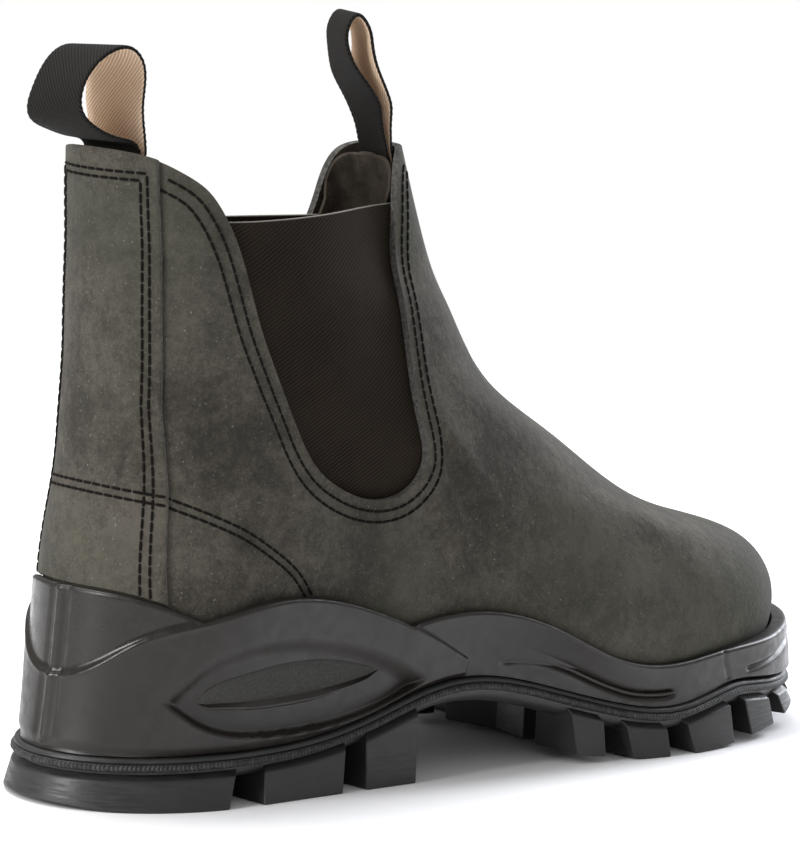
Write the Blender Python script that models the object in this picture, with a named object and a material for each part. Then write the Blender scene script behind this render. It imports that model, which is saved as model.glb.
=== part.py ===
"""A side gore work boot for the right foot, standing on its lugged sole.

Metres, +Z up. The toe points along +X, the little-toe side faces -Y, and the floor is z = 0.
The origin is on the floor, at the middle of the heel's tread.
"""

import math

import bmesh
import bpy
import numpy as np

# Driving sizes
SOLE_LENGTH = 0.300
SOLE_WIDTH = 0.108
COLLAR_HEIGHT = 0.180
HEEL_CENTRE = 0.042
UPPER_WALL = 0.0022
FIT_GAP = 0.0003
CUP_GAP = 0.0005
BACKSTAY_WALL = 0.0012
BACKSTAY_HALF_WIDTH = 0.022
GORE_WALL = 0.0016
GORE_OVERLAP = 0.007
INNER_GORE_DROP = 0.006
INSOLE_THICKNESS = 0.005
LIP_WIDTH = 0.0024
STEP_DEPTH = 0.0010
EYE_DEPTH = 0.0028
BUMPER_STEP = 0.0026
RIM_HEIGHT = 0.0036
RIM_INSET = 0.0018
PLATE_INSET = 0.0042
PLATE_THICKNESS = 0.0060
LUG_FLARE = 0.0014
TREAD_GAP = 0.0060
WEBBING_WIDTH = 0.024
WEBBING_WALL = 0.0013

# Plan outline of the sole. Lengths along the sole are shares of SOLE_LENGTH from the heel's back edge;
# the half width and the swing of the centre line towards the big toe are shares of SOLE_WIDTH.
OUTLINE = (
    # along, half width, centre
    (0.00, 0.338, -0.010),
    (0.12, 0.346, -0.010),
    (0.25, 0.348, -0.016),
    (0.38, 0.343, -0.032),
    (0.50, 0.361, -0.042),
    (0.58, 0.398, -0.042),
    (0.65, 0.449, -0.032),
    (0.72, 0.491, -0.016),
    (0.80, 0.498, 0.010),
    (0.90, 0.492, 0.030),
    (1.00, 0.472, 0.042),
)
HEEL_ROUND = 0.165
HEEL_POWER = 2.0
TOE_ROUND = 0.245
TOE_POWER = 2.6

# Heights of the footbed, of the rim bead between midsole and outsole, and of the lugs' lowest faces,
# as shares of COLLAR_HEIGHT.
BED = (
    # along, height
    (0.00, 0.183),
    (0.15, 0.178),
    (0.35, 0.178),
    (0.46, 0.178),
    (0.58, 0.156),
    (0.68, 0.124),
    (0.80, 0.118),
    (1.00, 0.128),
)
RIM = (
    # along, height
    (0.00, 0.070),
    (0.06, 0.071),
    (0.13, 0.073),
    (0.22, 0.076),
    (0.32, 0.103),
    (0.41, 0.143),
    (0.48, 0.144),
    (0.55, 0.118),
    (0.62, 0.087),
    (0.70, 0.070),
    (0.76, 0.085),
    (0.80, 0.094),
    (0.87, 0.086),
    (1.00, 0.086),
)
TREAD = (
    # along, height
    (0.000, 0.008),
    (0.035, 0.000),
    (0.400, 0.000),
    (0.550, 0.020),
    (0.610, 0.010),
    (0.660, 0.000),
    (0.750, 0.000),
    (0.800, 0.006),
    (0.880, 0.020),
    (0.950, 0.038),
    (1.000, 0.050),
)

# The top line of the midsole is the highest of three overlapping waves.
HEEL_WAVE = (
    # along, height
    (0.00, 0.326),
    (0.04, 0.333),
    (0.08, 0.316),
    (0.12, 0.285),
    (0.18, 0.236),
)
SHANK_WAVE = (
    # along, height
    (0.00, 0.170),
    (0.02, 0.190),
    (0.05, 0.245),
    (0.10, 0.286),
    (0.15, 0.309),
    (0.22, 0.318),
    (0.29, 0.297),
    (0.36, 0.256),
    (0.44, 0.190),
)
FORE_WAVE = (
    # along, height
    (0.32, 0.235),
    (0.39, 0.264),
    (0.46, 0.268),
    (0.53, 0.237),
    (0.61, 0.178),
    (0.68, 0.153),
    (0.77, 0.162),
    (0.87, 0.176),
    (0.94, 0.190),
    (1.00, 0.200),
)

# Scoop in each side of the midsole, seen from the side.
EYE = (
    # along, height
    (0.077, 0.169),
    (0.118, 0.237),
    (0.180, 0.262),
    (0.264, 0.250),
    (0.345, 0.208),
    (0.393, 0.165),
    (0.330, 0.120),
    (0.265, 0.103),
    (0.180, 0.102),
    (0.110, 0.128),
)

# Outer lugs on each side, from their first to their last place along the sole.
HEEL_LUGS = (
    # from, to
    (0.177, 0.283),
    (0.307, 0.377),
)
FORE_LUGS = (
    # from, to
    (0.572, 0.613),
    (0.640, 0.693),
    (0.720, 0.793),
    (0.820, 0.875),
    (0.900, 0.945),
)
END_LUG_REACH = 0.143
TOE_LUG_REACH = 0.033
LUG_DEPTH = 0.42
CENTRE_LUGS = (
    # from, to
    (0.095, 0.185),
    (0.215, 0.290),
    (0.590, 0.635),
    (0.665, 0.715),
    (0.745, 0.800),
    (0.830, 0.880),
)
CENTRE_HALF = 0.36

# Levels of the last, each a slice that runs from the back seam to the vamp's ridge. Lengths are shares
# of SOLE_LENGTH, heights shares of COLLAR_HEIGHT, half widths shares of SOLE_WIDTH at five places
# along the slice, and the rounds of its two ends shares of SOLE_LENGTH. Bed says how much of the
# footbed's own rise and fall the slice follows.
LEVELS = (
    # back x, back z, front x, front z, heel, waist, joint, ball, tip, heel round, toe round, power, bed
    (0.052, 0.183, 0.953, 0.128, 0.287, 0.270, 0.375, 0.417, 0.405, 0.140, 0.185, 2.4, 1.00),
    (0.044, 0.250, 0.963, 0.189, 0.315, 0.306, 0.407, 0.450, 0.430, 0.145, 0.195, 2.4, 0.50),
    (0.038, 0.317, 0.963, 0.256, 0.319, 0.315, 0.407, 0.442, 0.425, 0.145, 0.200, 2.3, 0.20),
    (0.043, 0.406, 0.938, 0.314, 0.315, 0.324, 0.384, 0.392, 0.380, 0.140, 0.205, 2.1, 0.00),
    (0.052, 0.500, 0.870, 0.352, 0.306, 0.329, 0.356, 0.350, 0.310, 0.135, 0.200, 2.0, 0.00),
    (0.055, 0.589, 0.757, 0.408, 0.301, 0.333, 0.338, 0.306, 0.278, 0.130, 0.185, 2.0, 0.00),
    (0.056, 0.678, 0.644, 0.514, 0.296, 0.333, 0.315, 0.275, 0.245, 0.130, 0.160, 2.0, 0.00),
    (0.055, 0.767, 0.546, 0.614, 0.292, 0.324, 0.300, 0.254, 0.215, 0.125, 0.127, 2.0, 0.00),
    (0.054, 0.856, 0.488, 0.731, 0.287, 0.312, 0.280, 0.225, 0.182, 0.120, 0.093, 2.4, 0.00),
    (0.051, 0.933, 0.455, 0.833, 0.282, 0.296, 0.250, 0.180, 0.148, 0.115, 0.073, 2.6, 0.00),
    (0.047, 1.067, 0.406, 1.067, 0.278, 0.287, 0.231, 0.153, 0.111, 0.113, 0.060, 2.6, 0.00),
)
SLICE_STATIONS = (0.12, 0.35, 0.60, 0.80, 1.00)

# Edge of the leather seen from the side, from the back of the collar, down round the gore and up to
# the front of the collar: shares of SOLE_LENGTH and of COLLAR_HEIGHT.
LEATHER_EDGE = (
    # along, height
    (0.000, 1.000),
    (0.050, 0.997),
    (0.070, 0.986),
    (0.088, 0.969),
    (0.107, 0.946),
    (0.122, 0.913),
    (0.135, 0.872),
    (0.163, 0.737),
    (0.203, 0.602),
    (0.238, 0.515),
    (0.273, 0.477),
    (0.313, 0.459),
    (0.352, 0.474),
    (0.370, 0.519),
    (0.365, 0.583),
    (0.362, 0.672),
    (0.368, 0.806),
    (0.380, 0.900),
    (0.386, 0.955),
    (0.396, 0.985),
    (0.412, 0.998),
    (0.440, 1.000),
    (0.520, 1.000),
)
GORE_TOP = (
    # along, height
    (0.06, 0.892),
    (0.13, 0.894),
    (0.38, 0.908),
    (0.46, 0.910),
)

# Middle lines of the two webbing loops, seen from the side: places from the loop's own foot as shares
# of WEBBING_RISE, the first and last points sewn inside the collar. The back loop droops on its inner
# side, so it has a second line there.
WEBBING_RISE = 0.0285
BACK_LOOP = (
    # forward, up, forward on the inner side, up on the inner side
    (0.12, -0.45, 0.12, -0.45),
    (0.11, 0.03, 0.11, 0.03),
    (0.11, 0.30, 0.11, 0.30),
    (0.12, 0.60, 0.12, 0.58),
    (0.08, 0.86, 0.08, 0.83),
    (-0.06, 0.98, -0.06, 0.94),
    (-0.30, 0.96, -0.29, 0.90),
    (-0.54, 0.80, -0.47, 0.71),
    (-0.66, 0.58, -0.59, 0.48),
    (-0.64, 0.38, -0.63, 0.28),
    (-0.46, 0.22, -0.46, 0.18),
    (-0.20, 0.13, -0.20, 0.11),
    (0.00, 0.06, 0.00, 0.05),
    (0.05, -0.08, 0.05, -0.08),
    (0.05, -0.45, 0.05, -0.45),
)
FRONT_LOOP = (
    # forward, up
    (0.00, -0.45),
    (0.00, 0.04),
    (-0.09, 0.40),
    (-0.21, 0.75),
    (-0.26, 1.08),
    (-0.33, 1.28),
    (-0.42, 1.35),
    (-0.50, 1.26),
    (-0.51, 1.03),
    (-0.42, 0.76),
    (-0.30, 0.56),
    (-0.17, 0.28),
    (-0.07, 0.04),
    (-0.07, -0.45),
)

# Feet of the loops: shares of SOLE_LENGTH, SOLE_WIDTH and COLLAR_HEIGHT.
BACK_LOOP_FOOT = (0.0597, 0.0046, 0.9944)
FRONT_LOOP_FOOT = (0.4063, -0.0200, 0.9889)

# Above its foot a loop straightens, turns and widens, at these shares of WEBBING_RISE.
FRONT_LOOP_TURN = 31.0
BACK_BEND = 0.028
FRONT_BEND = 0.014
BACK_GATHER = 0.95
FRONT_GATHER = 0.54
WEBBING_STRAIGHT = 0.5
WEBBING_TURNED = 1.1
WEBBING_GATHERED = 0.2
WEBBING_WIDE = 0.8

# How the midsole's side wall swells outwards between the outsole and the lip, along the sole.
WALL_SWELL = (
    # along, power
    (0.00, 0.50),
    (0.12, 0.55),
    (0.35, 1.00),
    (0.60, 1.70),
    (0.85, 1.60),
    (1.00, 1.10),
)
RIDGE_LOW = 0.30
RIDGE_HIGH = 0.88
RIDGE_BAND = 0.05
BUMPER_START = 0.760
BUMPER_BLEND = 0.100

# The backstay widens towards the heel: shares of COLLAR_HEIGHT and of BACKSTAY_HALF_WIDTH.
BACKSTAY_FLARE = (
    # height, width
    (0.18, 1.50),
    (0.32, 1.38),
    (0.48, 1.20),
    (0.62, 1.02),
    (0.80, 0.97),
    (1.07, 0.88),
)

# The last follows the sole's curve low down, and stands straight above these shares of COLLAR_HEIGHT.
CURVE_FULL = 0.2
CURVE_GONE = 0.8

# The places along the sole between which the edge lugs run towards its middle line.
LUG_CORE = (0.11, 0.87)

# Rows of the cup inside the midsole, from its lip to its floor.
CUP_ROWS = (1.0, 0.8, 0.6, 0.4, 0.2, 0.0)

CUT_TOP = 1.3
SHARP_ANGLE = 40.0
COLUMNS = 70
GORE_MARGIN = 2
SLICES = 15
STRIP_COLUMNS = 11
WEBBING_COLUMNS = 5
SAMPLES = 240


def spline(knots, values, at):
    """Natural cubic spline through the knots, read at each place in at."""
    x = np.asarray(knots, float)
    y = np.asarray(values, float)
    at = np.clip(np.asarray(at, float), x[0], x[-1])
    h = np.diff(x)
    count = len(x)
    matrix = np.eye(count)
    right = np.zeros(count)
    for i in range(1, count - 1):
        matrix[i, i - 1 : i + 2] = h[i - 1], 2 * (h[i - 1] + h[i]), h[i]
        right[i] = 6 * ((y[i + 1] - y[i]) / h[i] - (y[i] - y[i - 1]) / h[i - 1])
    bend = np.linalg.solve(matrix, right)
    i = np.clip(np.searchsorted(x, at) - 1, 0, count - 2)
    a = (x[i + 1] - at) / h[i]
    b = (at - x[i]) / h[i]
    curve = (a**3 - a) * bend[i] + (b**3 - b) * bend[i + 1]
    return a * y[i] + b * y[i + 1] + curve * h[i] ** 2 / 6


def column(table, index):
    return [row[index] for row in table]


def read(table, along, index=1):
    """A column of a table, as a smooth function of its first column."""
    return spline(column(table, 0), column(table, index), along)


def smooth_step(value):
    t = np.clip(value, 0, 1)
    return t * t * (3 - 2 * t)


def rounded_end(run, length, power):
    """Share of the full width at a distance run from a rounded end."""
    t = np.clip(run / length, 0, 1)
    return (1 - (1 - t) ** power) ** (1 / power)


def share_of(x):
    """Share of the sole's length, from the heel's back edge, at x."""
    return (x + HEEL_CENTRE) / SOLE_LENGTH


def x_at(share):
    return share * SOLE_LENGTH - HEEL_CENTRE


def bed_height(x):
    return read(BED, share_of(x)) * COLLAR_HEIGHT


def rim_height(x):
    """Middle of the bead between midsole and outsole."""
    return read(RIM, share_of(x)) * COLLAR_HEIGHT


def plate_top(x):
    return rim_height(x) + RIM_HEIGHT / 2


def plate_under(x):
    return rim_height(x) - PLATE_THICKNESS


def tread_height(x):
    """Lowest faces of the lugs: level at the heel and under the ball, and rising to the toe."""
    return np.interp(share_of(x), column(TREAD, 0), column(TREAD, 1)) * COLLAR_HEIGHT


def wave(table, x, missing):
    s = share_of(x)
    inside = (s >= table[0][0]) & (s <= table[-1][0])
    return np.where(inside, read(table, s) * COLLAR_HEIGHT, missing)


def shank_height(x):
    return wave(SHANK_WAVE, x, 0.0)


def wave_height(x):
    """Top line of the midsole."""
    heel = wave(HEEL_WAVE, x, 0.0)
    fore = wave(FORE_WAVE, x, 0.0)
    return np.maximum(np.maximum(heel, shank_height(x)), fore)


def fine_run():
    """Places from 0 to 1, close together at both ends."""
    return (1 - np.cos(np.linspace(0, math.pi, SAMPLES))) / 2


def turn_share(turn):
    """Signed share of a ring's side for a turn round it: 0 at the heel, 1 at the toe, 2 at the heel."""
    turn = np.asarray(turn, float)
    return np.where(turn > 1, 2 - turn, -turn)


def ring_turns(count):
    return np.arange(count) * 2 / count


def ring_at(half_line, shares):
    """Points of a ring at signed shares of its two sides: minus is the outer side, plus the inner."""
    x, middle, half, z = half_line
    steps = np.sqrt(np.diff(x) ** 2 + np.diff(half) ** 2 + np.diff(z) ** 2)
    run = np.concatenate([[0], np.cumsum(steps)])
    shares = np.asarray(shares, float)
    at = np.abs(shares) * run[-1]
    side = np.where(shares > 0, 1.0, -1.0)
    y = np.interp(at, run, middle) + side * np.interp(at, run, half)
    return np.stack([np.interp(at, run, x), y, np.interp(at, run, z)], axis=1)


def half_length(half_line):
    x, _, half, z = half_line
    return float(np.sqrt(np.diff(x) ** 2 + np.diff(half) ** 2 + np.diff(z) ** 2).sum())


def middle_line(x):
    return read(OUTLINE, share_of(x), 2) * SOLE_WIDTH


def sole_ring(turns, height, grow=0.0):
    """The sole's plan outline moved outwards by grow, at a height that follows x."""
    s = fine_run()
    half = read(OUTLINE, s, 1) * SOLE_WIDTH
    half = half * rounded_end(s, HEEL_ROUND, HEEL_POWER) * rounded_end(1 - s, TOE_ROUND, TOE_POWER)
    x = x_at(s)
    along = np.gradient(x)
    out = np.gradient(half)
    size = np.hypot(along, out)
    wide = half + along / size * grow
    wide[0] = wide[-1] = 0.0
    long = x - out / size * grow
    ring = ring_at((long, middle_line(x), wide, x * 0), turn_share(turns))
    ring[:, 2] = height(ring[:, 0])
    return ring


def level_values(level):
    """The numbers of the table of levels, at a level from 0 to 1."""
    knots = np.linspace(0, 1, len(LEVELS))
    return [float(spline(knots, column(LEVELS, k), level)) for k in range(len(LEVELS[0]))]


def last_half(level):
    """Half of a slice of the last's outer surface, from its back point to its front point."""
    back_x, back_z, front_x, front_z, *widths = level_values(level)
    heel_round, toe_round, power, bed = widths[5:]
    run = fine_run()
    x = x_at(back_x + (front_x - back_x) * run)
    z = (back_z + (front_z - back_z) * run) * COLLAR_HEIGHT
    dip = bed_height(x) - bed_height(x[0]) - run * (bed_height(x[-1]) - bed_height(x[0]))
    z = z + bed * dip
    half = spline((0.0,) + SLICE_STATIONS, [widths[0]] + widths[:5], run) * SOLE_WIDTH
    length = (front_x - back_x) * SOLE_LENGTH
    half = half * rounded_end(run * length, heel_round * SOLE_LENGTH, HEEL_POWER)
    half = half * rounded_end((1 - run) * length, toe_round * SOLE_LENGTH, power)
    straight = np.interp(z / COLLAR_HEIGHT, (CURVE_FULL, CURVE_GONE), (0, 1))
    return x, middle_line(x) * (1 - straight), half, z


def last_grid(levels, turns):
    return np.stack([ring_at(last_half(level), turn_share(turns)) for level in levels])


def last_strip(levels, distances):
    """Part of the last's surface round the back seam, at signed distances that widen low down."""
    rows = []
    for level in levels:
        half = last_half(level)
        flare = np.interp(half[3][0] / COLLAR_HEIGHT, column(BACKSTAY_FLARE, 0), column(BACKSTAY_FLARE, 1))
        rows.append(ring_at(half, -np.asarray(distances) * flare / half_length(half)))
    return np.stack(rows)


def normals(grid, closed):
    """Outward unit normals of a grid of rings."""
    if closed:
        around = np.roll(grid, -1, axis=1) - np.roll(grid, 1, axis=1)
    else:
        around = np.gradient(grid, axis=1)
    out = np.cross(around, np.gradient(grid, axis=0))
    return out / np.linalg.norm(out, axis=2, keepdims=True)


def rows_at(grid, height):
    """Row, as a fraction, at which each column of a grid first rises to a height that follows x."""
    over = grid[:, :, 2] - height(grid[:, :, 0])
    rows = np.zeros(grid.shape[1])
    for i in range(grid.shape[1]):
        j = max(int(np.argmax(over[:, i] > 0)), 1)
        rows[i] = j - over[j, i] / (over[j, i] - over[j - 1, i])
    return rows


def sample(grid, rows):
    """Points of a grid at a fractional row of each column."""
    low = np.clip(np.floor(rows).astype(int), 0, len(grid) - 2)
    part = (rows - low)[:, None]
    index = np.arange(grid.shape[1])
    return grid[low, index] * (1 - part) + grid[low + 1, index] * part


def finish(name, colour, roughness):
    material = bpy.data.materials.new(name)
    material.use_nodes = True
    shader = material.node_tree.nodes["Principled BSDF"]
    shader.inputs["Base Color"].default_value = (*colour, 1)
    shader.inputs["Roughness"].default_value = roughness
    shader.inputs["Metallic"].default_value = 0.0
    return material


def make_object(name, vertices, faces, material=None):
    mesh = bpy.data.meshes.new(name)
    mesh.from_pydata([tuple(v) for v in vertices], [], faces)
    work = bmesh.new()
    work.from_mesh(mesh)
    bmesh.ops.recalc_face_normals(work, faces=work.faces)
    work.to_mesh(mesh)
    work.free()
    mesh.shade_smooth()
    mesh.set_sharp_from_angle(angle=math.radians(SHARP_ANGLE))
    made = bpy.data.objects.new(name, mesh)
    bpy.context.scene.collection.objects.link(made)
    if material:
        mesh.materials.append(material)
    else:
        made.hide_render = True
        made.display_type = "WIRE"
    return made


def boolean(target, other, operation):
    modifier = target.modifiers.new(operation.lower(), "BOOLEAN")
    modifier.operation = operation
    modifier.solver = "EXACT"
    modifier.object = other


def skin(count, width, closed_round, closed_along):
    """Quads over a grid of count rows; each row may close on itself, and the last may join the first."""
    faces = []
    for j in range(count if closed_along else count - 1):
        for i in range(width if closed_round else width - 1):
            k = (j + 1) % count
            m = (i + 1) % width
            faces.append((j * width + i, j * width + m, k * width + m, k * width + i))
    return faces


def shell_solid(name, outer, inner, material=None, closed=True):
    """A wall between two grids of the same shape. An open wall gets its two end faces."""
    rows = list(outer) + list(inner[::-1])
    count = len(rows)
    width = outer.shape[1]
    faces = skin(count, width, closed, True)
    if not closed:
        for i in (0, width - 1):
            for j in range(len(outer) - 1):
                corners = (j, j + 1, count - 2 - j, count - 1 - j)
                faces.append(tuple(corner * width + i for corner in corners))
    return make_object(name, np.concatenate(rows), faces, material)


def span(start, count):
    """Faces from the outer side to the inner side of a ring."""
    half = count // 2
    faces = [(start, start + 1, start + count - 1)]
    for i in range(1, half - 1):
        faces.append((start + i, start + i + 1, start + count - i - 1, start + count - i))
    faces.append((start + half - 1, start + half, start + half + 1))
    return faces


def ring_solid(name, rings, material=None):
    """A solid whose skin is a stack of rings, spanned from side to side at both ends."""
    width = len(rings[0])
    faces = skin(len(rings), width, True, False) + span(0, width)
    faces += span((len(rings) - 1) * width, width)
    return make_object(name, np.concatenate(rings), faces, material)


def bar_mesh(sections, first):
    """Corners and faces of a bar through four-cornered sections, with corners numbered from first."""
    count = len(sections)
    faces = skin(count, 4, True, False)
    faces += [(3, 2, 1, 0), tuple((count - 1) * 4 + k for k in range(4))]
    return list(np.concatenate(sections)), [tuple(first + k for k in face) for face in faces]


def side_prism(name, profile, half_depth):
    """A side view's outline, carried right through the boot from side to side."""
    count = len(profile)
    near = [(x, -half_depth, z) for x, z in profile]
    far = [(x, half_depth, z) for x, z in profile]
    faces = [tuple(range(count)), tuple(range(2 * count - 1, count - 1, -1))]
    for i in range(count):
        j = (i + 1) % count
        faces.append((i, count + i, count + j, j))
    return make_object(name, near + far, faces)


def smooth_path(points, per_span):
    """A curve through a short list of points, with its knots spaced by distance."""
    points = np.asarray(points, float)
    run = np.concatenate([[0], np.cumsum(np.linalg.norm(np.diff(points, axis=0), axis=1))])
    spans = zip(run[:-1], run[1:])
    at = np.concatenate([np.linspace(a, b, per_span, endpoint=False) for a, b in spans] + [run[-1:]])
    return np.stack([spline(run, points[:, k], at) for k in range(points.shape[1])], axis=1)


def in_metres(table):
    return [(x_at(along), height * COLLAR_HEIGHT) for along, height in table]


def offset_path(path, distance):
    """A side view's path moved to the right of its own direction."""
    step = np.gradient(path, axis=0)
    step /= np.linalg.norm(step, axis=1, keepdims=True)
    return path + np.stack([step[:, 1], -step[:, 0]], axis=1) * distance


def outer_last():
    return last_grid(np.linspace(0, 1, SLICES), ring_turns(COLUMNS))


def opening_cutter():
    """Everything above the leather's edge: the collar and both gores."""
    edge = smooth_path(in_metres(LEATHER_EDGE), 2)
    top = COLLAR_HEIGHT * CUT_TOP
    profile = [tuple(p) for p in edge] + [(edge[-1][0], top), (edge[0][0], top)]
    return side_prism("collar_and_gore_cut", profile, SOLE_WIDTH)


def make_upper(cutter):
    outer = outer_last()
    inner = outer - normals(outer, True) * UPPER_WALL
    inner[0, :, 2] = outer[0, :, 2]
    leather = finish("upper", (0.062, 0.064, 0.055), 0.85)
    upper = shell_solid("upper", outer, inner, leather)
    boolean(upper, cutter, "DIFFERENCE")


def make_backstay(cutter):
    levels = np.linspace(0, 1, SLICES)
    distances = np.linspace(-BACKSTAY_HALF_WIDTH, BACKSTAY_HALF_WIDTH, STRIP_COLUMNS)
    grid = last_strip(levels, distances)
    out = normals(grid, False)
    low = rows_at(grid, lambda x: wave_height(x) + 2 * FIT_GAP)
    rows = [low + (SLICES - 1 - low) * t for t in np.linspace(0, 1, SLICES)]
    near = np.stack([sample(grid + out * FIT_GAP, row) for row in rows])
    far = np.stack([sample(grid + out * (FIT_GAP + BACKSTAY_WALL), row) for row in rows])
    leather = finish("backstay", (0.070, 0.072, 0.062), 0.85)
    strip = shell_solid("backstay", far, near, leather, closed=False)
    boolean(strip, cutter, "DIFFERENCE")


def gore_cutter(name, drop):
    """Outline of the elastic, which reaches behind the leather round the cut-out."""
    edge = offset_path(smooth_path(in_metres(LEATHER_EDGE), 3), GORE_OVERLAP)
    top = smooth_path(in_metres(GORE_TOP), 3) - np.array([0, drop])
    top_z = np.interp(edge[:, 0], top[:, 0], top[:, 1])
    low = [tuple(p) for p, limit in zip(edge, top_z) if p[1] < limit - GORE_WALL]
    across = np.linspace(low[-1][0], low[0][0], 6)
    high = [(x, float(np.interp(x, top[:, 0], top[:, 1]))) for x in across]
    return side_prism(name, low + high, SOLE_WIDTH)


def make_gores():
    grid = outer_last()
    out = normals(grid, True)
    front = UPPER_WALL + FIT_GAP
    rear = front + GORE_WALL
    first = SLICES // 4
    half = COLUMNS // 2
    sides = (
        ("gore_outer", slice(GORE_MARGIN, half - GORE_MARGIN + 1), 0.0),
        ("gore_inner", slice(half + GORE_MARGIN, COLUMNS - GORE_MARGIN + 1), INNER_GORE_DROP),
    )
    elastic = finish("gore", (0.020, 0.016, 0.013), 0.9)
    for name, columns, drop in sides:
        face = grid[first:, columns]
        away = out[first:, columns]
        gore = shell_solid(name, face - away * front, face - away * rear, elastic, closed=False)
        boolean(gore, gore_cutter(name + "_outline", drop), "INTERSECT")


def make_insole():
    grid = outer_last()[:2]
    out = normals(grid, True)[0]
    out[:, 2] = 0
    out /= np.linalg.norm(out, axis=1, keepdims=True)
    low = grid[0] - out * (UPPER_WALL + 2 * FIT_GAP)
    high = low + np.array([0, 0, INSOLE_THICKNESS])
    ring_solid("insole", [low, high], finish("insole", (0.030, 0.028, 0.026), 0.95))


def step_out(points):
    """How far the midsole's lower waves and its toe bumper stand out from the wall above them."""
    s = share_of(points[:, 0])
    below = smooth_step((shank_height(points[:, 0]) - points[:, 2]) / STEP_DEPTH + 0.5)
    bumper = smooth_step((s - BUMPER_START) / BUMPER_BLEND)
    return STEP_DEPTH * below + BUMPER_STEP * bumper


def midsole_wall(grid, out):
    """Rows of the midsole's outer wall, from the outsole to the lip against the leather."""
    turns = ring_turns(grid.shape[1])
    base = sole_ring(turns, lambda x: plate_top(x) + FIT_GAP, -PLATE_INSET)
    lip_rows = rows_at(grid, wave_height)
    lip = sample(grid + out * (CUP_GAP + LIP_WIDTH), lip_rows)
    lip[:, 2] = sample(grid, lip_rows)[:, 2]
    power = np.interp(share_of(base[:, 0]), column(WALL_SWELL, 0), column(WALL_SWELL, 1))
    ridge = (shank_height(lip[:, 0]) - base[:, 2]) / (lip[:, 2] - base[:, 2])
    ridge = np.clip(ridge, RIDGE_LOW, RIDGE_HIGH)
    low = ridge - RIDGE_BAND
    high = ridge + RIDGE_BAND
    rows = []
    for t in (ridge * 0, low / 2, low, high, (high + 1) / 2, ridge * 0 + 1):
        across = (t**power)[:, None]
        row = base * (1 - across) + lip * across
        row[:, 2] = base[:, 2] * (1 - t) + lip[:, 2] * t
        rows.append(row)
    wall = np.stack(rows)
    away = normals(wall, True)
    away[:, :, 2] = 0
    away /= np.linalg.norm(away, axis=2, keepdims=True)
    push = np.stack([step_out(row) for row in wall])
    push[0] = 0
    return wall + away * push[:, :, None], away


def eye_cutter(wall, away):
    upper_arc = smooth_path(in_metres(EYE[:6]), 3)
    lower_arc = smooth_path(in_metres(EYE[5:] + EYE[:1]), 3)
    profile = [tuple(p) for p in upper_arc] + [tuple(p) for p in lower_arc[1:-1]]
    prism = side_prism("eye_outline", profile, SOLE_WIDTH)
    band = shell_solid("eye_scoop", wall + away * LIP_WIDTH, wall - away * EYE_DEPTH)
    boolean(band, prism, "INTERSECT")
    return band


def make_midsole():
    grid = outer_last()
    out = normals(grid, True)
    wall, away = midsole_wall(grid, out)
    fit = grid + out * CUP_GAP
    fit[:, :, 2] = grid[:, :, 2]
    lip_rows = rows_at(grid, wave_height)
    cup = [sample(fit, lip_rows * t) for t in CUP_ROWS]
    cup[-1][:, 2] -= FIT_GAP
    rubber = finish("midsole", (0.022, 0.020, 0.019), 0.42)
    midsole = ring_solid("midsole", list(wall) + cup, rubber)
    boolean(midsole, eye_cutter(wall, away), "DIFFERENCE")


def lug_bar(turns, first):
    """One of the lugs along the sole's edge, with its outer face flared towards the floor."""
    outer = sole_ring(turns, tread_height)
    upper = sole_ring(turns, rim_height, -RIM_INSET - LUG_FLARE)
    x = np.clip(outer[:, 0], x_at(LUG_CORE[0]), x_at(LUG_CORE[1]))
    core = np.stack([x, middle_line(x), x * 0], axis=1)
    inner = outer * (1 - LUG_DEPTH) + core * LUG_DEPTH
    inner[:, 2] = tread_height(inner[:, 0])
    root = inner.copy()
    root[:, 2] = plate_under(inner[:, 0]) + PLATE_THICKNESS / 3
    sections = [np.stack(corners) for corners in zip(outer, upper, root, inner)]
    return bar_mesh(sections, first)


def centre_bar(start, end, first):
    """One of the chevrons along the middle of the tread."""
    sections = []
    for side in (-1, 0, 1):
        point = (1 - abs(side)) * TREAD_GAP
        x = np.array([x_at(start), x_at(end), x_at(end), x_at(start)]) + point
        half = read(OUTLINE, (start + end) / 2) * SOLE_WIDTH * CENTRE_HALF
        y = middle_line(np.full(4, x_at((start + end) / 2))) + side * half
        z = np.where([True, True, False, False], tread_height(x), plate_under(x) + PLATE_THICKNESS / 3)
        sections.append(np.stack([x, y, z], axis=1))
    return bar_mesh(sections, first)


def turn_at(share):
    """Turn round the sole's outline at which its outer side reaches a share of the length."""
    turns = np.linspace(0, 1, 4 * SAMPLES)
    reach = share_of(sole_ring(turns, rim_height)[:, 0])
    return float(np.interp(share, reach, turns))


def lug_turns():
    """First and last turn of every lug round the edge."""
    heel = turn_at(END_LUG_REACH)
    toe = turn_at(1 - TOE_LUG_REACH)
    pairs = [(-heel, heel), (toe, 2 - toe)]
    for start, end in HEEL_LUGS + FORE_LUGS:
        first = turn_at(start)
        last = turn_at(end)
        pairs += [(first, last), (-last, -first)]
    return pairs


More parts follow.
